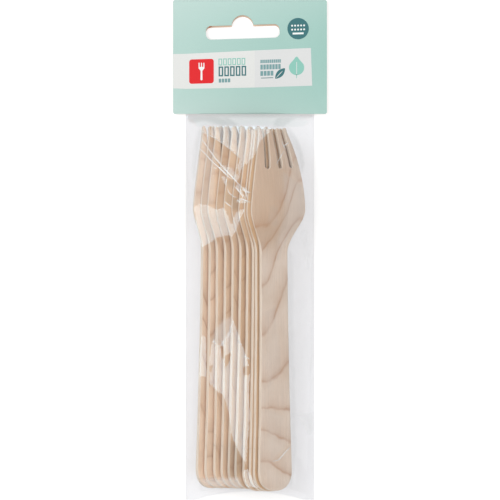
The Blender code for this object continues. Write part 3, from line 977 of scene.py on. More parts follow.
@dataclass
class FilmBag:
    """The clear film bag: drawn tight over the forks, crinkled, with flat facets and sharp creases.

    Its heights are worked out on a grid of square cells, with a row for each place along Y, and read
    there by the bag's own mesh, whose columns stand closer where the film is steep.
    """

    node: str = "film_bag"
    cell: float = 0.4 * MM
    columns: int = 160
    rows: int = 500
    steep_weight: float = 0.35
    side_gap: float = 0.02 * MM
    foot_arc: float = 3.7 * MM
    foot_half: float = 24.0 * MM
    foot_reach: float = 12.0 * MM
    foot_round: float = 0.9 * MM
    seam: float = 0.54 * MM
    back_height: float = 0.06 * MM
    off_wood: float = 0.22 * MM
    drape_blur: float = 1.4 * MM
    mark_blur: float = 0.5 * MM
    last_blur: float = 0.25 * MM
    side_fade: float = 3.0 * MM
    foot_fade: float = 8.0 * MM
    card_fade: float = 4.0 * MM
    card_edge: float = at(0, 118)[1]
    crinkle_step: Point2 = (7.0 * MM, 12.0 * MM)
    crinkle_slip: float = 0.45
    crinkle_height: float = 0.22 * MM
    crease_height: float = 0.05 * MM
    ribbon_step: float = 0.5 * MM
    ribbon_lift: float = 0.04 * MM
    ribbon_waver: float = 4.0 * MM
    # Painted highlight: the share of pale veil that the crease ribbons take.
    ribbon_sheen: float = 0.62
    facet_gain: float = 1.6
    facet_loss: float = 0.3
    facet_waver: float = 0.045
    facet_waver_size: Point2 = (5.0 * MM, 16.0 * MM)
    finish: FilmFinish = field(default_factory=FilmFinish)
    facets: tuple[Patch, ...] = (
        Patch((
            (210.3, 126), (210.6, 136.4), (220, 141), (227.6, 147), (236.5, 154.6), (246.7, 164.8),
            (249, 161), (253.8, 157.8), (256.3, 152), (258.9, 145.7), (262, 140), (267, 135.5), (271, 130.4),
            (271.5, 128), (262, 126.6), (247, 125.8), (225, 125.4),
        )),
        Patch((
            (198.9, 203.8), (207.2, 204.4), (216.1, 208.9), (223.8, 208.4), (226.5, 211), (229, 217),
            (231.4, 224.8), (233.5, 219), (236, 213), (242.9, 208.2), (244.8, 210.8), (241.6, 217),
            (238.5, 224), (236.5, 231.2), (231.4, 237.6), (228.9, 235.6), (217.4, 237.6), (209.7, 243.3),
            (202.1, 247.8), (200, 243), (196, 224.8), (194.4, 208),
        )),
        Patch((
            (232.5, 318), (237.8, 329.3), (241.6, 342), (246.7, 356), (250.6, 368.9), (249.3, 397),
            (250.6, 414.8), (248, 440.3), (246.7, 464.5), (242.9, 459.4), (236.5, 446.7), (231.4, 435.2),
            (228.9, 414.8), (225, 399.5), (222.5, 394.4), (216, 390.6), (208.5, 382.9), (209.1, 356),
            (211, 344.6), (213, 338), (219, 345), (224, 339), (229, 330),
        )),
        Patch(((201.5, 334), (206.6, 337), (206.8, 376.5), (198.5, 376.5), (199.5, 350))),
        Patch(((243, 470), (248, 467), (251, 473), (256, 483), (259, 487.5), (247, 487), (244, 480))),
        Patch(((221.2, 176.3), (225, 176.3), (227.6, 181.4), (226.3, 186.5), (223.8, 183.3))),
        Patch(((235.3, 185.3), (239.1, 185.3), (242.9, 191.6), (244.2, 196.7), (241.6, 198), (239.1, 192.9))),
        Patch(((244.2, 189.1), (246.7, 192.9), (250.6, 193.5), (248, 191.6), (245.5, 186.5))),
        Patch(((236.5, 199.3), (241.6, 198), (248, 200.6), (246.7, 203.1), (241.6, 203.8), (236.5, 202.5))),
    )
    gaps: tuple[Patch, ...] = (
        Patch(((221, 346), (224, 349), (224.5, 359), (221.5, 356))),
        Patch(((225, 356), (231, 352.5), (229, 361), (225.5, 367))),
        Patch(((209.5, 366), (212.5, 364), (211.5, 372), (209.5, 371))),
        Patch(((243, 367), (249, 365), (249.5, 374), (244, 375.5))),
    )
    creases: tuple[Crease, ...] = (
        Crease((
            (200, 137.6), (206.4, 145.5), (211.2, 152.7), (216.1, 159.4), (220.9, 164.8), (226.4, 170.9),
            (231.2, 176.4), (238.5, 184.2), (246.4, 192.1),
        ), 0.55 * MM),
        Crease((
            (197.3, 146.7), (205.8, 154.5), (210.6, 160), (214.2, 163.6), (219.1, 167.9), (223.9, 172.7),
            (227.6, 176.4), (233.6, 180.6),
        ), 0.5 * MM),
        Crease((
            (200.3, 130.9), (205.8, 133.3), (216.1, 139.4), (223.9, 144.5), (232.4, 151.5), (242.1, 160.6),
        ), 0.3 * MM),
        Crease(((242, 189.5), (246.4, 192.1), (250.5, 192.7)), 0.7 * MM),
        Crease(((243, 187), (245.5, 192), (247.5, 199)), 0.5 * MM),
        Crease(((234, 186), (238, 190.5), (243, 196), (246, 199)), 0.5 * MM),
        Crease(((236, 201), (243, 199.5), (251, 203)), 0.4 * MM),
        Crease(((224.2, 201.2), (227.6, 204.2), (232, 207.5)), 0.35 * MM),
        Crease(((227, 188.5), (229.4, 193.3), (233, 196.4), (237, 198)), 0.35 * MM),
        Crease(((291.4, 445.4), (285, 452), (278.6, 459.4), (272, 461)), 0.45 * MM),
        Crease(((283, 147), (289, 142.5)), 0.45 * MM),
        Crease(((276, 165), (284, 151)), 0.3 * MM),
        Crease(((286, 150), (282.5, 145), (281.5, 141)), 0.3 * MM),
        Crease(((237, 339), (242, 345)), 0.5 * MM),
        Crease(((243, 355), (250, 359)), 0.5 * MM),
    )
    # Painted sheen: a pale veil over these parts of the film, standing in for its glare.
    painted_sheens: tuple[Patch, ...] = (
        Patch(((201, 125.5), (205, 125.5), (207.5, 134.5), (202, 135)), 0.3),
        Patch(((201, 134), (206, 136), (222, 160), (216, 163), (214, 205), (193, 206), (194, 165)), 0.14),
        Patch(((232, 316), (224, 320), (215, 329), (213, 342), (222, 345), (232, 332)), 0.22),
        Patch(((283, 172), (302, 186), (304, 212), (290, 234), (278, 262), (277, 240), (285, 214)), 0.11),
        Patch(((265, 312), (276, 306), (281, 372), (268, 388)), 0.07),
        Patch(((266, 408), (284, 416), (286, 445), (270, 462)), 0.08),
        Patch((
            (201.5, 479.5), (205, 477.4), (208.5, 478.6), (211.5, 476.8), (214, 477.6), (216.5, 479),
            (221, 477), (227, 477.8), (233, 476.8), (239, 477.4), (243, 487.5), (236, 487.6), (229, 485.8),
            (225, 484), (220, 487), (214, 485), (208, 485.5), (204, 483),
        ), 0.27),
        Patch((
            (199, 203), (224, 209), (229, 217), (243, 208), (237, 231), (217, 238), (202, 248), (193, 208),
        ), 0.05),
        Patch(((270, 205), (279, 208), (277, 226), (268, 224)), 0.06),
        Patch(((291, 413.5), (302, 414), (313.5, 413), (313.5, 433), (308, 434), (301, 420)), 0.2),
        Patch(((300, 232), (306, 228), (312, 250), (308, 270)), 0.12),
    )
    # Painted shade and shadow on the film: under the card, beside the forks and where the film is folded.
    folds: tuple[Patch, ...] = (
        Patch(((186.5, 115), (212, 115), (224, 119), (238, 126.5), (223, 126), (205, 121), (190, 123)), 0.8),
        Patch(((219, 115), (226, 116), (240, 126.5), (231, 126.5)), 0.7),
        Patch(((273, 127), (277, 117), (300, 116), (291, 121), (283, 128)), 0.6),
        Patch(((186, 114), (314, 114), (314, 117.2), (186, 117.2)), 0.8),
        Patch((
            (286, 127), (292, 132), (298, 141), (303, 155), (304, 166), (302, 174), (299, 160), (294, 146),
            (288, 134),
        ), 0.55),
        Patch((
            (203, 130), (200, 140), (197, 158), (194, 178), (192.5, 178), (193, 160), (196, 140), (199, 128),
        ), 0.4),
        Patch((
            (288.5, 250), (292.5, 255), (293.5, 330), (296.5, 450), (292, 487), (289.5, 487), (291.5, 450),
            (289.5, 350), (287.5, 300),
        ), 0.3),
        Patch(((226.4, 181), (233.5, 180.5), (234, 186), (228, 186.8)), 0.7),
        Patch(((226, 189.5), (229, 193.5), (232, 197), (231.5, 206), (227.5, 204), (225, 201)), 0.6),
        Patch(((232.4, 198), (237.5, 198.5), (236.5, 202.5), (238, 207), (234, 212), (232, 208)), 0.8),
        Patch((
            (223, 400), (227, 414), (230, 438), (237, 449), (243, 461), (243, 470), (239, 477), (226, 477),
            (228, 440),
        ), 0.5),
    )

    def __post_init__(self) -> None:
        """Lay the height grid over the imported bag's box."""
        low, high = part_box(self.node)
        self.left, self.right = low.x + self.side_gap, high.x - self.side_gap
        self.foot, self.mouth = low.y, high.y
        self.xs = np.arange(self.left, self.right + self.cell, self.cell)
        self.ys = np.arange(self.foot, self.mouth + self.cell, self.cell)
        self.gx, self.gy = np.meshgrid(self.xs, self.ys)

    def build(self) -> None:
        """Model the bag: a grid laid to the film's heights, turned under at its seams and foot."""
        heights = self.heights()
        bag = flat_grid(self.columns, self.rows)
        front = np.zeros(len(bag.data.vertices) * 3)
        bag.data.vertices.foreach_get("co", front)
        front = front.reshape(-1, 3)
        x = np.interp(front[:, 0] + 0.5, *self.even_steps(heights))
        y = self.foot + (self.mouth - self.foot) * (front[:, 1] + 0.5)
        rise = self.foot_arc * np.clip(1 - (x / self.foot_half) ** 2, 0, 1)
        y = y + rise * np.clip(1 - (y - self.foot) / self.foot_reach, 0, 1)
        z = self.sampled(heights, x, np.maximum(y, self.foot + rise + self.foot_round))
        share = np.clip((y - self.foot - rise) / self.foot_round, 0, 1)
        z = self.seam + (z - self.seam) * (1 - (1 - share) ** 2) ** 0.5
        front[:, 0], front[:, 1], front[:, 2] = x, y, z
        bag.data.vertices.foreach_set("co", front.ravel())
        bag.data.update()
        self.close_back(bag)
        bpy.ops.object.shade_smooth()
        self.face_window(bag.data, front)
        # Lay the painted sheen and painted shade patches in the attributes that the film's material reads.
        for name, parts in (("haze", self.painted_sheens), ("folds", self.folds)):
            values = np.zeros(len(bag.data.vertices))
            values[:len(front)] = self.sampled(self.marked(parts, self.mark_blur / self.cell), x, y)
            mark(bag.data, name, values)
        film = self.finish.material("clear_film")
        bag.data.materials.append(film)
        finish_piece(bag, "film_bag_skin", self.node)
        self.ridges(heights, film)

    def ridges(self, heights: np.ndarray, film: Material) -> None:
        """Model the creases' ridges as narrow ribbons on the film, in one piece, with a painted highlight.

        Args:
            heights: The height grid.
            film: The film's material.
        """
        ridges = joined([self.ribbon(heights, number, crease) for number, crease in enumerate(self.creases)])
        # Painted highlight: every crease ribbon gets the same pale veil.
        mark(ridges.data, "haze", np.full(len(ridges.data.vertices), self.ribbon_sheen))
        bpy.ops.object.shade_smooth()
        ridges.data.materials.append(film)
        finish_piece(ridges, "film_creases")

    def ribbon(self, heights: np.ndarray, number: int, crease: Crease) -> Piece:
        """Model one crease's ribbon, pointed at its ends.

        Args:
            heights: The height grid.
            number: Which crease it is.
            crease: The crease.

        Returns:
            The ribbon.
        """
        corners = np.array([at(*p) for p in crease.line])
        run = np.concatenate([[0.0], np.cumsum(np.hypot(*np.diff(corners, axis=0).T))])
        ribbon = flat_grid(max(int(run[-1] / self.ribbon_step), 4), 1)
        for vert in ribbon.data.vertices:
            share, side = vert.co.x + 0.5, math.copysign(1.0, vert.co.y)
            behind, place, ahead = (
                np.array([np.interp(share * run[-1] + step, run, axis) for axis in corners.T])
                for step in (-MM, 0.0, MM)
            )
            along = (ahead - behind) / np.linalg.norm(ahead - behind)
            waver = noise.noise(Vector((share * run[-1] / self.ribbon_waver, number * 5.0, 0)))
            width = crease.half_width * (math.sin(math.pi * share) ** 0.5 + 0.03) * (0.9 + 0.4 * waver)
            place += np.array((-along[1], along[0])) * (side * width / 2 + self.ribbon_lift * waver)
            lift = self.sampled(heights, place[:1], place[1:])[0] + self.ribbon_lift
            vert.co = (place[0], place[1], lift)
        return ribbon

    def even_steps(self, heights: np.ndarray) -> tuple[np.ndarray, np.ndarray]:
        """Share out the columns so that they are closer where the film is steep.

        Args:
            heights: The height grid.

        Returns:
            Shares from 0 to 1 and the place across the bag of each, for interpolation.
        """
        profile = np.median(heights, axis=0)
        steps = np.hypot(np.diff(self.xs), self.steep_weight * np.diff(profile))
        shares = np.concatenate([[0.0], np.cumsum(steps)]) / steps.sum()
        return shares, np.clip(self.xs, self.left, self.right)

    def sampled(self, grid: np.ndarray, x: np.ndarray, y: np.ndarray) -> np.ndarray:
        """Read a grid between its points.

        Args:
            grid: The grid, rows along Y and columns along X.
            x: Places across the bag.
            y: Places along it.

        Returns:
            The values there.
        """
        fx = np.clip((x - self.xs[0]) / self.cell, 0, len(self.xs) - 1.001)
        fy = np.clip((y - self.ys[0]) / self.cell, 0, len(self.ys) - 1.001)
        ix, iy = fx.astype(int), fy.astype(int)
        sx, sy = fx - ix, fy - iy
        lower = grid[iy, ix] * (1 - sx) + grid[iy, ix + 1] * sx
        upper = grid[iy + 1, ix] * (1 - sx) + grid[iy + 1, ix + 1] * sx
        return lower * (1 - sy) + upper * sy

    def cast(self, tree: BVHTree, missing: float) -> np.ndarray:
        """Measure a surface from above on the height grid.

        Args:
            tree: The surface.
            missing: The height where there is nothing.

        Returns:
            The heights.
        """
        heights = np.full(self.gx.shape, missing)
        above, down = 100 * MM, Vector((0, 0, -1))
        for j, y in enumerate(self.ys):
            for i, x in enumerate(self.xs):
                hit = tree.ray_cast(Vector((min(x, self.right), y, above)), down)[0]
                if hit is not None:
                    heights[j, i] = hit.z
        return heights

    def packed_tree(self, prefix: str) -> BVHTree:
        """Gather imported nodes' surfaces in one tree.

        Args:
            prefix: What the nodes' names start with.

        Returns:
            The tree.
        """
        verts, faces = [], []
        for name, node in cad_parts.items():
            if name.startswith(prefix):
                start = len(verts)
                verts += [vert.co.copy() for vert in node.data.vertices]
                faces += [[start + i for i in face.vertices] for face in node.data.polygons]
        return BVHTree.FromPolygons(verts, faces)

    def heights(self) -> np.ndarray:
        """Work out the front film's heights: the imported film, softened, crinkled and creased.

        Returns:
            The height grid.
        """
        packed = self.cast(self.packed_tree(self.node), self.seam)
        wood = self.cast(self.packed_tree("fork"), 0.0)
        film = smoothed(packed, self.drape_blur / self.cell)
        inner = np.minimum(self.gx - self.left, self.right - self.gx)
        free = np.clip(inner / self.side_fade, 0, 1) * np.clip((self.gy - self.foot) / self.foot_fade, 0, 1)
        free *= np.clip((self.card_edge - self.gy) / self.card_fade, 0, 1)
        film += smoothed(self.crinkles(), self.mark_blur / self.cell) * free
        for crease in self.creases:
            film += self.crease_height * crease.share(self.gx, self.gy)
        film = np.maximum(film, wood + self.off_wood)
        return smoothed(film, self.last_blur / self.cell)

    def crinkles(self) -> np.ndarray:
        """Lay flat triangles between scattered points, each a little above or below the film.

        Returns:
            Their heights on the height grid.
        """
        rng = np.random.default_rng(SEED)
        step_x, step_y = self.crinkle_step
        points = []
        for y in np.arange(self.foot - step_y, self.mouth + 2 * step_y, step_y):
            for x in np.arange(self.left - step_x, self.right + 2 * step_x, step_x):
                slip_x, slip_y = (rng.uniform(-self.crinkle_slip, self.crinkle_slip) for _ in range(2))
                points.append(Vector((x + step_x * slip_x, y + step_y * slip_y)))
        verts, _, faces, _, _, _ = delaunay_2d_cdt(points, [], [], 0, 1e-6)
        lifts = rng.uniform(-1, 1, len(verts)) * self.crinkle_height
        tree = BVHTree.FromPolygons([(v.x, v.y, lift) for v, lift in zip(verts, lifts)], faces)
        return self.cast(tree, 0.0)

    def marked(self, parts: tuple[Patch, ...], blur: float = 0.0) -> np.ndarray:
        """Lay patches on the height grid, where the strongest counts.

        Args:
            parts: The patches.
            blur: How soft their edges are, in cells.

        Returns:
            The patches' strength on the grid.
        """
        grid = np.zeros(self.gx.shape)
        for part in parts:
            share = part.share(self.gx, self.gy)
            grid = np.maximum(grid, smoothed(share, blur) if blur else share)
        return grid

    def face_window(self, mesh: Mesh, front: np.ndarray) -> None:
        """Turn the facets' normals towards the window panel, each a little its own way.

        Args:
            mesh: The bag's mesh, whose first points are the front's.
            front: The front's points.
        """
        shining = np.minimum(self.marked(self.facets), 1 - self.marked(self.gaps))
        shares = self.sampled(shining, front[:, 0], front[:, 1])
        shares = np.clip(shares * self.facet_gain - self.facet_loss, 0, 1)
        normals = np.zeros(len(mesh.vertices) * 3)
        mesh.vertices.foreach_get("normal", normals)
        normals = normals.reshape(-1, 3)
        across, along = self.facet_waver_size
        for k in np.flatnonzero(shares > 0.01):
            place = Vector((front[k, 0] / across, front[k, 1] / along, 4.0))
            aim = np.array(GLARE_FACING) + np.array(noise.noise_vector(place) * self.facet_waver)
            normals[k] = normals[k] * (1 - shares[k]) + aim * shares[k]
        normals /= np.maximum(np.linalg.norm(normals, axis=1, keepdims=True), 1e-9)
        mesh.normals_split_custom_set_from_vertices([tuple(n) for n in normals])

    def close_back(self, bag: Piece) -> None:
        """Turn the front's edges down to the flat back, and leave the mouth open.

        Args:
            bag: The front, as a grid.
        """
        enter_edit(bag, "DESELECT")
        bpy.ops.mesh.select_mode(type="EDGE")
        bpy.ops.mesh.select_non_manifold(extend=False)
        bpy.ops.mesh.extrude_edges_move(TRANSFORM_OT_translate={"value": (0, 0, -NEAR)})
        bpy.ops.object.mode_set(mode="OBJECT")
        for vert in bag.data.vertices:
            if vert.select:
                vert.co.z = self.back_height
        bpy.ops.object.mode_set(mode="EDIT")
        bpy.ops.mesh.edge_face_add()
        bpy.ops.mesh.select_all(action="DESELECT")
        bpy.ops.object.mode_set(mode="OBJECT")
        for face in bag.data.polygons:
            face.select = abs(face.normal.y) > 0.7 and face.center.y > self.mouth - NEAR
        bpy.ops.object.mode_set(mode="EDIT")
        bpy.ops.mesh.select_mode(type="FACE")
        bpy.ops.mesh.delete(type="ONLY_FACE")
        turn_outwards()


@dataclass
class HeaderCard:
    """The folded header card: mint outside, kraft inside and on its cut edges, with a euro slot."""

    node: str = "header_card"
    thickness: float = 0.4 * MM
    corner: float = 1.0 * MM
    slot_length: float = 32.6 * MM
    slot_height: float = 6.0 * MM
    slot_corner: float = 2.3 * MM
    slot_x: float = -3.2 * MM
    slot_to_fold: float = 14.1 * MM
    bump_half_width: float = 4.8 * MM
    bump_rise: float = 4.35 * MM
    back_slip: float = 0.75 * MM
    outside: CardFinish = field(default_factory=CardFinish)
    kraft: PlainFinish = field(default_factory=lambda: PlainFinish(linear(236, 209, 186), 0.8, 0.16))

    def __post_init__(self) -> None:
        """Take the card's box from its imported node, and from it the fold's radius and its y and z."""
        self.low, self.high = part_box(self.node)
        self.outer = (self.high.z - self.low.z) / 2
        self.fold = (self.high.y - self.outer, self.low.z + self.outer)

    def build(self) -> None:
        """Model the card: its folded section drawn out across, its corners rounded, its slot cut."""
        low, high = self.low, self.high
        inner = self.outer - self.thickness
        section = [(low.y, low.z), *arc(self.fold, (self.outer, self.outer), -QUARTER, QUARTER, 20)]
        section += [(low.y, high.z), (low.y, high.z - self.thickness)]
        section += [*arc(self.fold, (inner, inner), QUARTER, -QUARTER, 20), (low.y, low.z + self.thickness)]
        card = outlined(section, 0.0)
        for vert in card.data.vertices:
            vert.co = (low.x, vert.co.x, vert.co.y)
        thicken(card, (high.x - low.x, 0, 0))
        self.round_corners(card)
        middle = (low.z + high.z) / 2
        self.cut_slot(card, middle, high.z + MM, 0.0)
        self.cut_slot(card, low.z - MM, middle, self.back_slip)
        card.data.materials.append(self.outside.material("mint_print"))
        card.data.materials.append(self.kraft.material("kraft_core"))
        for face in card.data.polygons:
            face.material_index = 0 if self.is_outside(face) else 1
        activate(card)
        bpy.ops.object.shade_smooth_by_angle(angle=math.radians(30))
        finish_piece(card, "header_board", self.node)

    def round_corners(self, card: Piece) -> None:
        """Round both panels' free corners, and draw the fold's ends in by as much.

        Args:
            card: The card, square all over.
        """
        mesh = card.data
        for edge in mesh.edges:
            a, b = (mesh.vertices[i].co for i in edge.vertices)
            edge.select = max(a.y, b.y) < self.low.y + NEAR and abs(a.x - b.x) < NEAR
        ends = {i for edge in mesh.edges if edge.select for i in edge.vertices}
        for vert in mesh.vertices:
            vert.select = vert.index in ends
        for face in mesh.polygons:
            face.select = False
        bpy.ops.object.mode_set(mode="EDIT")
        bpy.ops.mesh.select_mode(type="EDGE")
        bpy.ops.mesh.bevel(offset=self.corner, segments=8, profile=0.5, affect="EDGES")
        bpy.ops.object.mode_set(mode="OBJECT")
        for vert in mesh.vertices:
            share = (vert.co.y - self.fold[0]) / (self.high.y - self.fold[0])
            if share > 0:
                drawn = self.corner * (1 - math.sqrt(max(1 - share * share, 0.0)))
                vert.co.x -= math.copysign(drawn, vert.co.x)

    def is_outside(self, face: bpy.types.MeshPolygon) -> bool:
        """Tell whether a face is on the card's printed outside.

        Args:
            face: The face.

        Returns:
            True if it is.
        """
        within = self.thickness / 2
        if abs(face.normal.x) > 0.5:
            return False
        if face.center.y > self.fold[0]:
            return math.dist(face.center.yz, self.fold) > self.outer - within
        on_top = face.normal.z > 0.9 and face.center.z > self.high.z - within
        return on_top or (face.normal.z < -0.9 and face.center.z < self.low.z + within)

    def cut_slot(self, card: Piece, bottom: float, top: float, drop: float) -> None:
        """Cut the euro slot through one panel.

        Args:
            card: The card.
            bottom: The cutter's lower height.
            top: Its upper height.
            drop: How far the slot sits below its place, along Y.
        """
        half, round_ = self.slot_height / 2, (self.slot_corner, self.slot_corner)
        out, up = self.slot_length / 2 - self.slot_corner, half - self.slot_corner
        radius = (self.bump_half_width**2 + self.bump_rise**2) / (2 * self.bump_rise)
        spread = math.asin(self.bump_half_width / radius)
        points = arc((out, -up), round_, -QUARTER, 0.0, 8) + arc((out, up), round_, 0.0, QUARTER, 8)
        bump = (0.0, half + self.bump_rise - radius)
        points += arc(bump, (radius, radius), QUARTER - spread, QUARTER + spread, 24)
        points += arc((-out, up), round_, QUARTER, 2 * QUARTER, 8)
        points += arc((-out, -up), round_, 2 * QUARTER, 3 * QUARTER, 8)
        cutter = outlined(points, bottom)
        thicken(cutter, (0, 0, top - bottom))
        place = Matrix.Translation((self.slot_x, self.high.y - self.slot_to_fold - drop, 0))
        cutter.data.transform(place @ Matrix.Rotation(PRINT_TURN, 4, "Z"))
        slot = card.modifiers.new("euro_slot", "BOOLEAN")
        slot.operation = "DIFFERENCE"
        slot.solver = "EXACT"
        slot.object = cutter
        activate(card)
        bpy.ops.object.modifier_apply(modifier=slot.name)
        bpy.data.objects.remove(cutter)


@dataclass
class HeaderPrint:
    """The header's print as fields of colour and simple shapes, with no lettering.

    Places are in photograph pixels. A box is given by its left, top, right and bottom, the upper and
    lower edge at its middle, because the print rises to the right. Shapes of a higher layer lie over
    those of a lower one.
    """

    node: str = "header_card"
    skew: float = math.tan(PRINT_TURN)
    film: float = 0.015 * MM
    off_card: float = 0.01 * MM
    step: float = 0.012 * MM
    margin: float = 0.15
    band_left: Point2 = (54.1, 88.4)
    band: tuple[Point2, ...] = ((185, 53.9), (200, 53.2), (254.7, 50.5), (254.7, 87.6), (185, 88.9))
    panel: tuple[Point2, ...] = ((254.7, 50.5), (310.8, 48.0), (312.2, 85.7), (254.7, 87.6))
    emblem_box: Box2 = (189.2, 59.2, 213.8, 83.6)
    emblem_corner: float = 2.6
    emblem_middle: Point2 = (201.5, 71.4)
    emblem_side: tuple[Point2, ...] = (
        (0.8, 0.5), (2.9, 3.0), (2.9, 8.6), (1.9, 8.6), (1.9, 4.4), (0.5, 4.4), (0.5, 8.6),
    )
    hollow_words: tuple[tuple[Ink, Box2, int, float], ...] = (
        (Ink.MINT, (218.5, 58.3, 246.2, 65.2), 6, 0.95),
        (Ink.TEAL, (218.6, 66.2, 247.3, 76.1), 5, 1.35),
    )
    plain_words: tuple[tuple[Box2, int], ...] = (
        ((218.8, 78.7, 230.8, 82.5), 4),
        ((260.4, 59.6, 281.2, 63.0), 11),
        ((260.4, 64.4, 281.2, 69.4), 7),
        ((260.4, 71.0, 274.0, 75.8), 4),
    )
    rule: Box2 = (260.9, 77.6, 273.2, 78.3)
    leaf_ends: tuple[Point2, Point2] = ((275.2, 78.8), (285.0, 68.2))
    rib_ends: tuple[Point2, Point2] = ((275.8, 78.2), (283.0, 70.6))
    drop_middle: Point2 = (296.6, 67.0)
    drop_radius: float = 7.6
    badge_middle: Point2 = (298.1, 28.7)
    badge_radius: float = 10.7
    badge_rows: tuple[float, ...] = (25.6, 29.6)
    dot_pitch: float = 3.0
    badge_bar: Box2 = (292.6, 32.6, 303.6, 34.4)
    worn_spot: tuple[Point2, ...] = (
        (208.3, 27.6), (209.2, 26.3), (212.0, 26.0), (211.4, 27.0), (210.4, 28.0), (209.0, 28.1),
    )

    def __post_init__(self) -> None:
        """Find the height that the print lies at, and start without any shapes."""
        self.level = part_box(self.node)[1].z + self.off_card
        self.parts: dict[Ink, list[Piece]] = {}

    def shape(self, ink: Ink, points: list[Point2], layer: int) -> None:
        """Lay one flat shape of an ink on the card.

        Args:
            ink: The ink.
            points: Its outline.
            layer: Which layer of print it lies in, from 0.
        """
        places = [at(*p) for p in points]
        turn = sum(a[0] * b[1] - b[0] * a[1] for a, b in zip(places, places[1:] + places[:1]))
        if turn < 0:
            places.reverse()
        self.parts.setdefault(ink, []).append(outlined(places, self.level + layer * self.step))

    def block(self, ink: Ink, box: Box2, layer: int = 1) -> None:
        """Lay a bar that rises to the right as the card's print does.

        Args:
            ink: The ink.
            box: The bar.
            layer: Which layer of print it lies in.
        """
        left, top, right, bottom = box
        rise = (right - left) / 2 * self.skew
        corners = [(left, top + rise), (right, top - rise), (right, bottom - rise), (left, bottom + rise)]
        self.shape(ink, corners, layer)

    def word(self, ink: Ink, box: Box2, letters: int) -> None:
        """Lay a row of plain blocks in a word's place.

        Args:
            ink: The ink.
            box: The row.
            letters: How many blocks there are.
        """
        left, top, right, bottom = box
        pitch = (right - left) / letters
        for k in range(letters):
            start = left + k * pitch
            lift = (start + pitch / 2 - (left + right) / 2) * self.skew
            self.block(ink, (start, top - lift, start + 0.8 * pitch, bottom - lift))

    def hollow_word(self, ink: Ink, box: Box2, letters: int, stroke: float) -> None:
        """Lay a row of plain hollow boxes in a word's place, each in two halves.

        Args:
            ink: The ink.
            box: The row.
            letters: How many boxes there are.
            stroke: How thick their sides are.
        """
        left, top, right, bottom = box
        pitch = (right - left) / letters
        for k in range(letters):
            a, b = left + k * pitch, left + (k + 0.8) * pitch
            middle = (a + b) / 2
            lift = (middle - (left + right) / 2) * self.skew
            t, u = top - lift, bottom - lift
            for side, inner in ((a, a + stroke), (b, b - stroke)):
                self.shape(ink, [
                    (side, t), (middle, t), (middle, t + stroke), (inner, t + stroke),
                    (inner, u - stroke), (middle, u - stroke), (middle, u), (side, u),
                ], 1)

    def plate(self, ink: Ink, box: Box2, radius: float) -> None:
        """Lay a plate with round corners.

        Args:
            ink: The ink.
            box: The plate.
            radius: Its corners' radius.
        """
        left, top, right, bottom = box
        middle = (left + right) / 2
        ends = (left + radius, right - radius), (top + radius, bottom - radius)
        points = []
        for k, (i, j) in enumerate(((1, 1), (0, 1), (0, 0), (1, 0))):
            points += arc((ends[0][i], ends[1][j]), (radius, radius), k * QUARTER, (k + 1) * QUARTER, 6)
        self.shape(ink, [(x, y - (x - middle) * self.skew) for x, y in points], 1)

    def disc(self, ink: Ink, middle: Point2, radius: float, layer: int, steps: int) -> None:
        """Lay a round spot.

        Args:
            ink: The ink.
            middle: Its middle.
            radius: Its radius.
            layer: Which layer of print it lies in.
            steps: How many sides it has.
        """
        last = 2 * math.pi * (1 - 1 / steps)
        self.shape(ink, arc(middle, (radius, radius), 0.0, last, steps - 1), layer)

    def leaf(self, ink: Ink, ends: tuple[Point2, Point2], width: float, layer: int) -> None:
        """Lay a pointed leaf between its stalk's end and its tip.

        Args:
            ink: The ink.
            ends: The two ends.
            width: The leaf's width.
            layer: Which layer of print it lies in.
        """
        base, tip = (Vector(end) for end in ends)
        along = tip - base
        side = Vector((-along.y, along.x)).normalized() * width / 2
        shares = np.linspace(0.0, 1.0, 14)
        right = [base + along * s + side * math.sin(math.pi * s) ** 0.8 for s in shares]
        left = [base + along * s - side * math.sin(math.pi * s) ** 0.8 for s in shares[1:-1]]
        self.shape(ink, [tuple(p) for p in right + left[::-1]], layer)

    def emblem(self) -> None:
        """Lay a plain white fork, the same on both sides, on a red plate."""
        self.plate(Ink.RED, self.emblem_box, self.emblem_corner)
        x, y = self.emblem_middle
        left = [(x - out, y - up) for out, up in self.emblem_side]
        right = [(x + out, y - up) for out, up in reversed(self.emblem_side)]
        self.shape(Ink.WHITE, arc((x, y + 8.0), (1.0, 1.0), 0.0, math.pi, 6) + left + right, 2)

    def drop(self) -> None:
        """Lay a drop-shaped leaf with its stalk and its rib."""
        x, y = self.drop_middle
        radii = (self.drop_radius, self.drop_radius)
        bowl = arc((x, y + 0.6), radii, math.radians(-28), math.radians(208), 40)
        crown = ((-3.0, 7.2), (-0.9, 10.0), (0.0, 10.4), (0.9, 10.0), (3.0, 7.2))
        self.shape(Ink.MINT, bowl + [(x + out, y - up) for out, up in crown], 1)
        stalk, rib = (Ink.MINT, 0.35, 7.0, 11.2, 1), (Ink.PANEL, 0.3, -5.0, 7.4, 2)
        for ink, half, top, bottom, layer in (stalk, rib):
            corners = ((-half, top), (half, top), (half, bottom), (-half, bottom))
            self.shape(ink, [(x + out, y + down) for out, down in corners], layer)

    def badge(self) -> None:
        """Lay the round badge with its two rows of dots and its bar."""
        self.disc(Ink.TEAL, self.badge_middle, self.badge_radius, 1, 64)
        for row in self.badge_rows:
            for k in range(-2, 3):
                out = self.dot_pitch * k
                self.disc(Ink.WHITE, (self.badge_middle[0] + out, row - out * self.skew), 0.95, 2, 16)
        self.block(Ink.WHITE, self.badge_bar, 2)

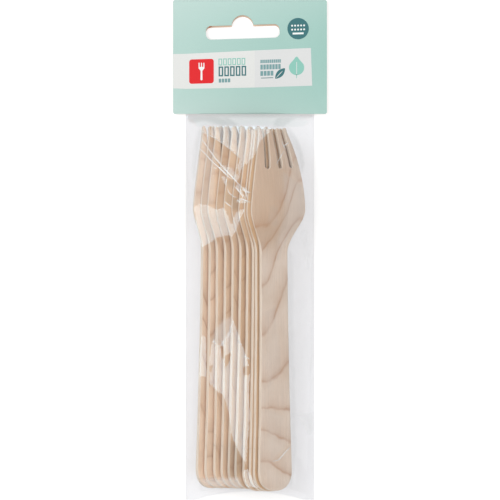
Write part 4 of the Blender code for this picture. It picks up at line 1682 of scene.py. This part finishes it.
    def build(self) -> None:
        """Lay the fields, marks and words and a worn spot, and make one piece for each ink."""
        edge = PHOTO_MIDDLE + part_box(self.node)[0].x / PHOTO_SCALE + self.margin
        top, bottom = self.band_left
        self.shape(Ink.BAND, [(edge, top), *self.band, (edge, bottom)], 0)
        self.shape(Ink.PANEL, list(self.panel), 0)
        self.emblem()
        for ink, box, letters, stroke in self.hollow_words:
            self.hollow_word(ink, box, letters, stroke)
        for box, letters in self.plain_words:
            self.word(Ink.PALE_TEAL, box, letters)
        self.block(Ink.TEAL, self.rule)
        self.leaf(Ink.TEAL, self.leaf_ends, 6.6, 1)
        self.leaf(Ink.PANEL, self.rib_ends, 0.7, 2)
        self.drop()
        self.badge()
        self.shape(Ink.KRAFT, list(self.worn_spot), 1)
        for ink, parts in self.parts.items():
            piece = joined(parts)
            thicken(piece, (0, 0, self.film))
            name = f"print_{ink.name.lower()}"
            piece.data.materials.append(PlainFinish(linear(*ink.value), 0.45, 0.03).material(name))
            finish_piece(piece, name)


@dataclass(frozen=True)
class Softbox:
    """A square lamp that faces the pack. Gloss reflects it only where it shines."""

    name: str
    place: Point3
    side: float
    power: float
    tone: Colour = WHITE
    shines: bool = False

    def build(self) -> None:
        """Add the lamp, unseen by the camera."""
        light = bpy.data.lights.new(self.name, "AREA")
        light.shape = "RECTANGLE"
        light.size, light.size_y = self.side, self.side
        light.energy = self.power
        light.color = self.tone
        lamp = bpy.data.objects.new(self.name, light)
        lamp.location = self.place
        lamp.rotation_euler = (-Vector(self.place)).to_track_quat("-Z", "Y").to_euler()
        lamp.visible_camera = False
        lamp.visible_glossy = self.shines
        bpy.context.scene.collection.objects.link(lamp)


@dataclass
class Studio:
    """The white floor, the soft light and the camera straight above the pack."""

    camera_height: float = 6.0
    frame_width: float = 500 * PHOTO_SCALE
    sensor: float = 36.0
    floor_size: float = 40.0
    floor_drop: float = 0.05 * MM
    floor_tone: Colour = (0.6, 0.6, 0.6)
    glow_reach: Point2 = (0.3, 2.0)
    glow: Point2 = (0.5, 0.67)
    sky: Point2 = (0.6, 1.0)
    key: Softbox = Softbox("key_softbox", (-0.9, 0.35, 1.25), 0.9, 7.6, (1.0, 0.99, 0.97))
    top: Softbox = Softbox("top_softbox", (0.28, -0.15, 1.7), 1.3, 9.8)
    window_distance: float = 1.5
    window_tone: Colour = (0.57, 0.84, 1.0)

    def build(self) -> None:
        """Add the floor, the world, the lamps and the camera."""
        bpy.context.scene.view_settings.view_transform = "Standard"
        self.floor()
        self.world()
        self.key.build()
        self.top.build()
        facing = Vector(GLARE_FACING).normalized()
        place = (2 * facing.z * facing - Vector((0, 0, 1))) * self.window_distance
        Softbox("window_panel", tuple(place), 0.34, 1.45, self.window_tone, True).build()
        self.camera()

    def floor(self) -> None:
        """Add the wide pale floor just under the pack."""
        clear_selection()
        bpy.ops.mesh.primitive_plane_add(size=self.floor_size, location=(0, 0, -self.floor_drop))
        floor = bpy.context.object
        floor.name = "floor"
        sheet = NodeSheet("white_floor")
        rays = sheet.add("ShaderNodeLightPath").outputs
        seen = sheet.math("MAXIMUM", rays["Is Camera Ray"], rays["Is Glossy Ray"])
        seen = sheet.math("MAXIMUM", seen, rays["Is Transmission Ray"])
        away = sheet.add("ShaderNodeVectorMath", {"operation": "LENGTH"})
        sheet.feed(away.inputs[0], sheet.place())
        level = sheet.fit(away.outputs["Value"], *self.glow_reach, *self.glow)
        lift = sheet.add("ShaderNodeEmission", Color=WHITE, Strength=sheet.math("MULTIPLY", seen, level))
        matt = sheet.add("ShaderNodeBsdfDiffuse", Color=self.floor_tone)
        both = sheet.result("ShaderNodeAddShader", None, matt.outputs[0], lift.outputs[0])
        floor.data.materials.append(sheet.close(both))

    def world(self) -> None:
        """Light the scene evenly all round, with a white background."""
        world = bpy.data.worlds.new("studio")
        bpy.context.scene.world = world
        world.use_nodes = True
        nodes, links = world.node_tree.nodes, world.node_tree.links
        background = nodes["Background"]
        background.inputs["Color"].default_value = (*WHITE, 1.0)
        rays = nodes.new("ShaderNodeLightPath")
        level = nodes.new("ShaderNodeMapRange")
        level.inputs["To Min"].default_value, level.inputs["To Max"].default_value = self.sky
        links.new(rays.outputs["Is Camera Ray"], level.inputs["Value"])
        links.new(level.outputs[0], background.inputs["Strength"])

    def camera(self) -> None:
        """Add the camera straight above the pack, with the photograph's frame."""
        camera = bpy.data.cameras.new("camera")
        camera.sensor_width = self.sensor
        camera.lens = self.sensor * self.camera_height / self.frame_width
        camera.clip_end = 100.0
        view = bpy.data.objects.new("camera", camera)
        view.location = (0, 0, self.camera_height)
        bpy.context.scene.collection.objects.link(view)
        bpy.context.scene.camera = view


def main() -> None:
    """Build the pack piece by piece and set up the studio."""
    logging.basicConfig(level=logging.INFO, format="%(name)s: %(message)s")
    noise.seed_set(SEED)
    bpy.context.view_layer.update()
    for part in (ForkFan(), FilmBag(), HeaderCard(), HeaderPrint(), Studio()):
        part.build()


if __name__ == "__main__":
    main()
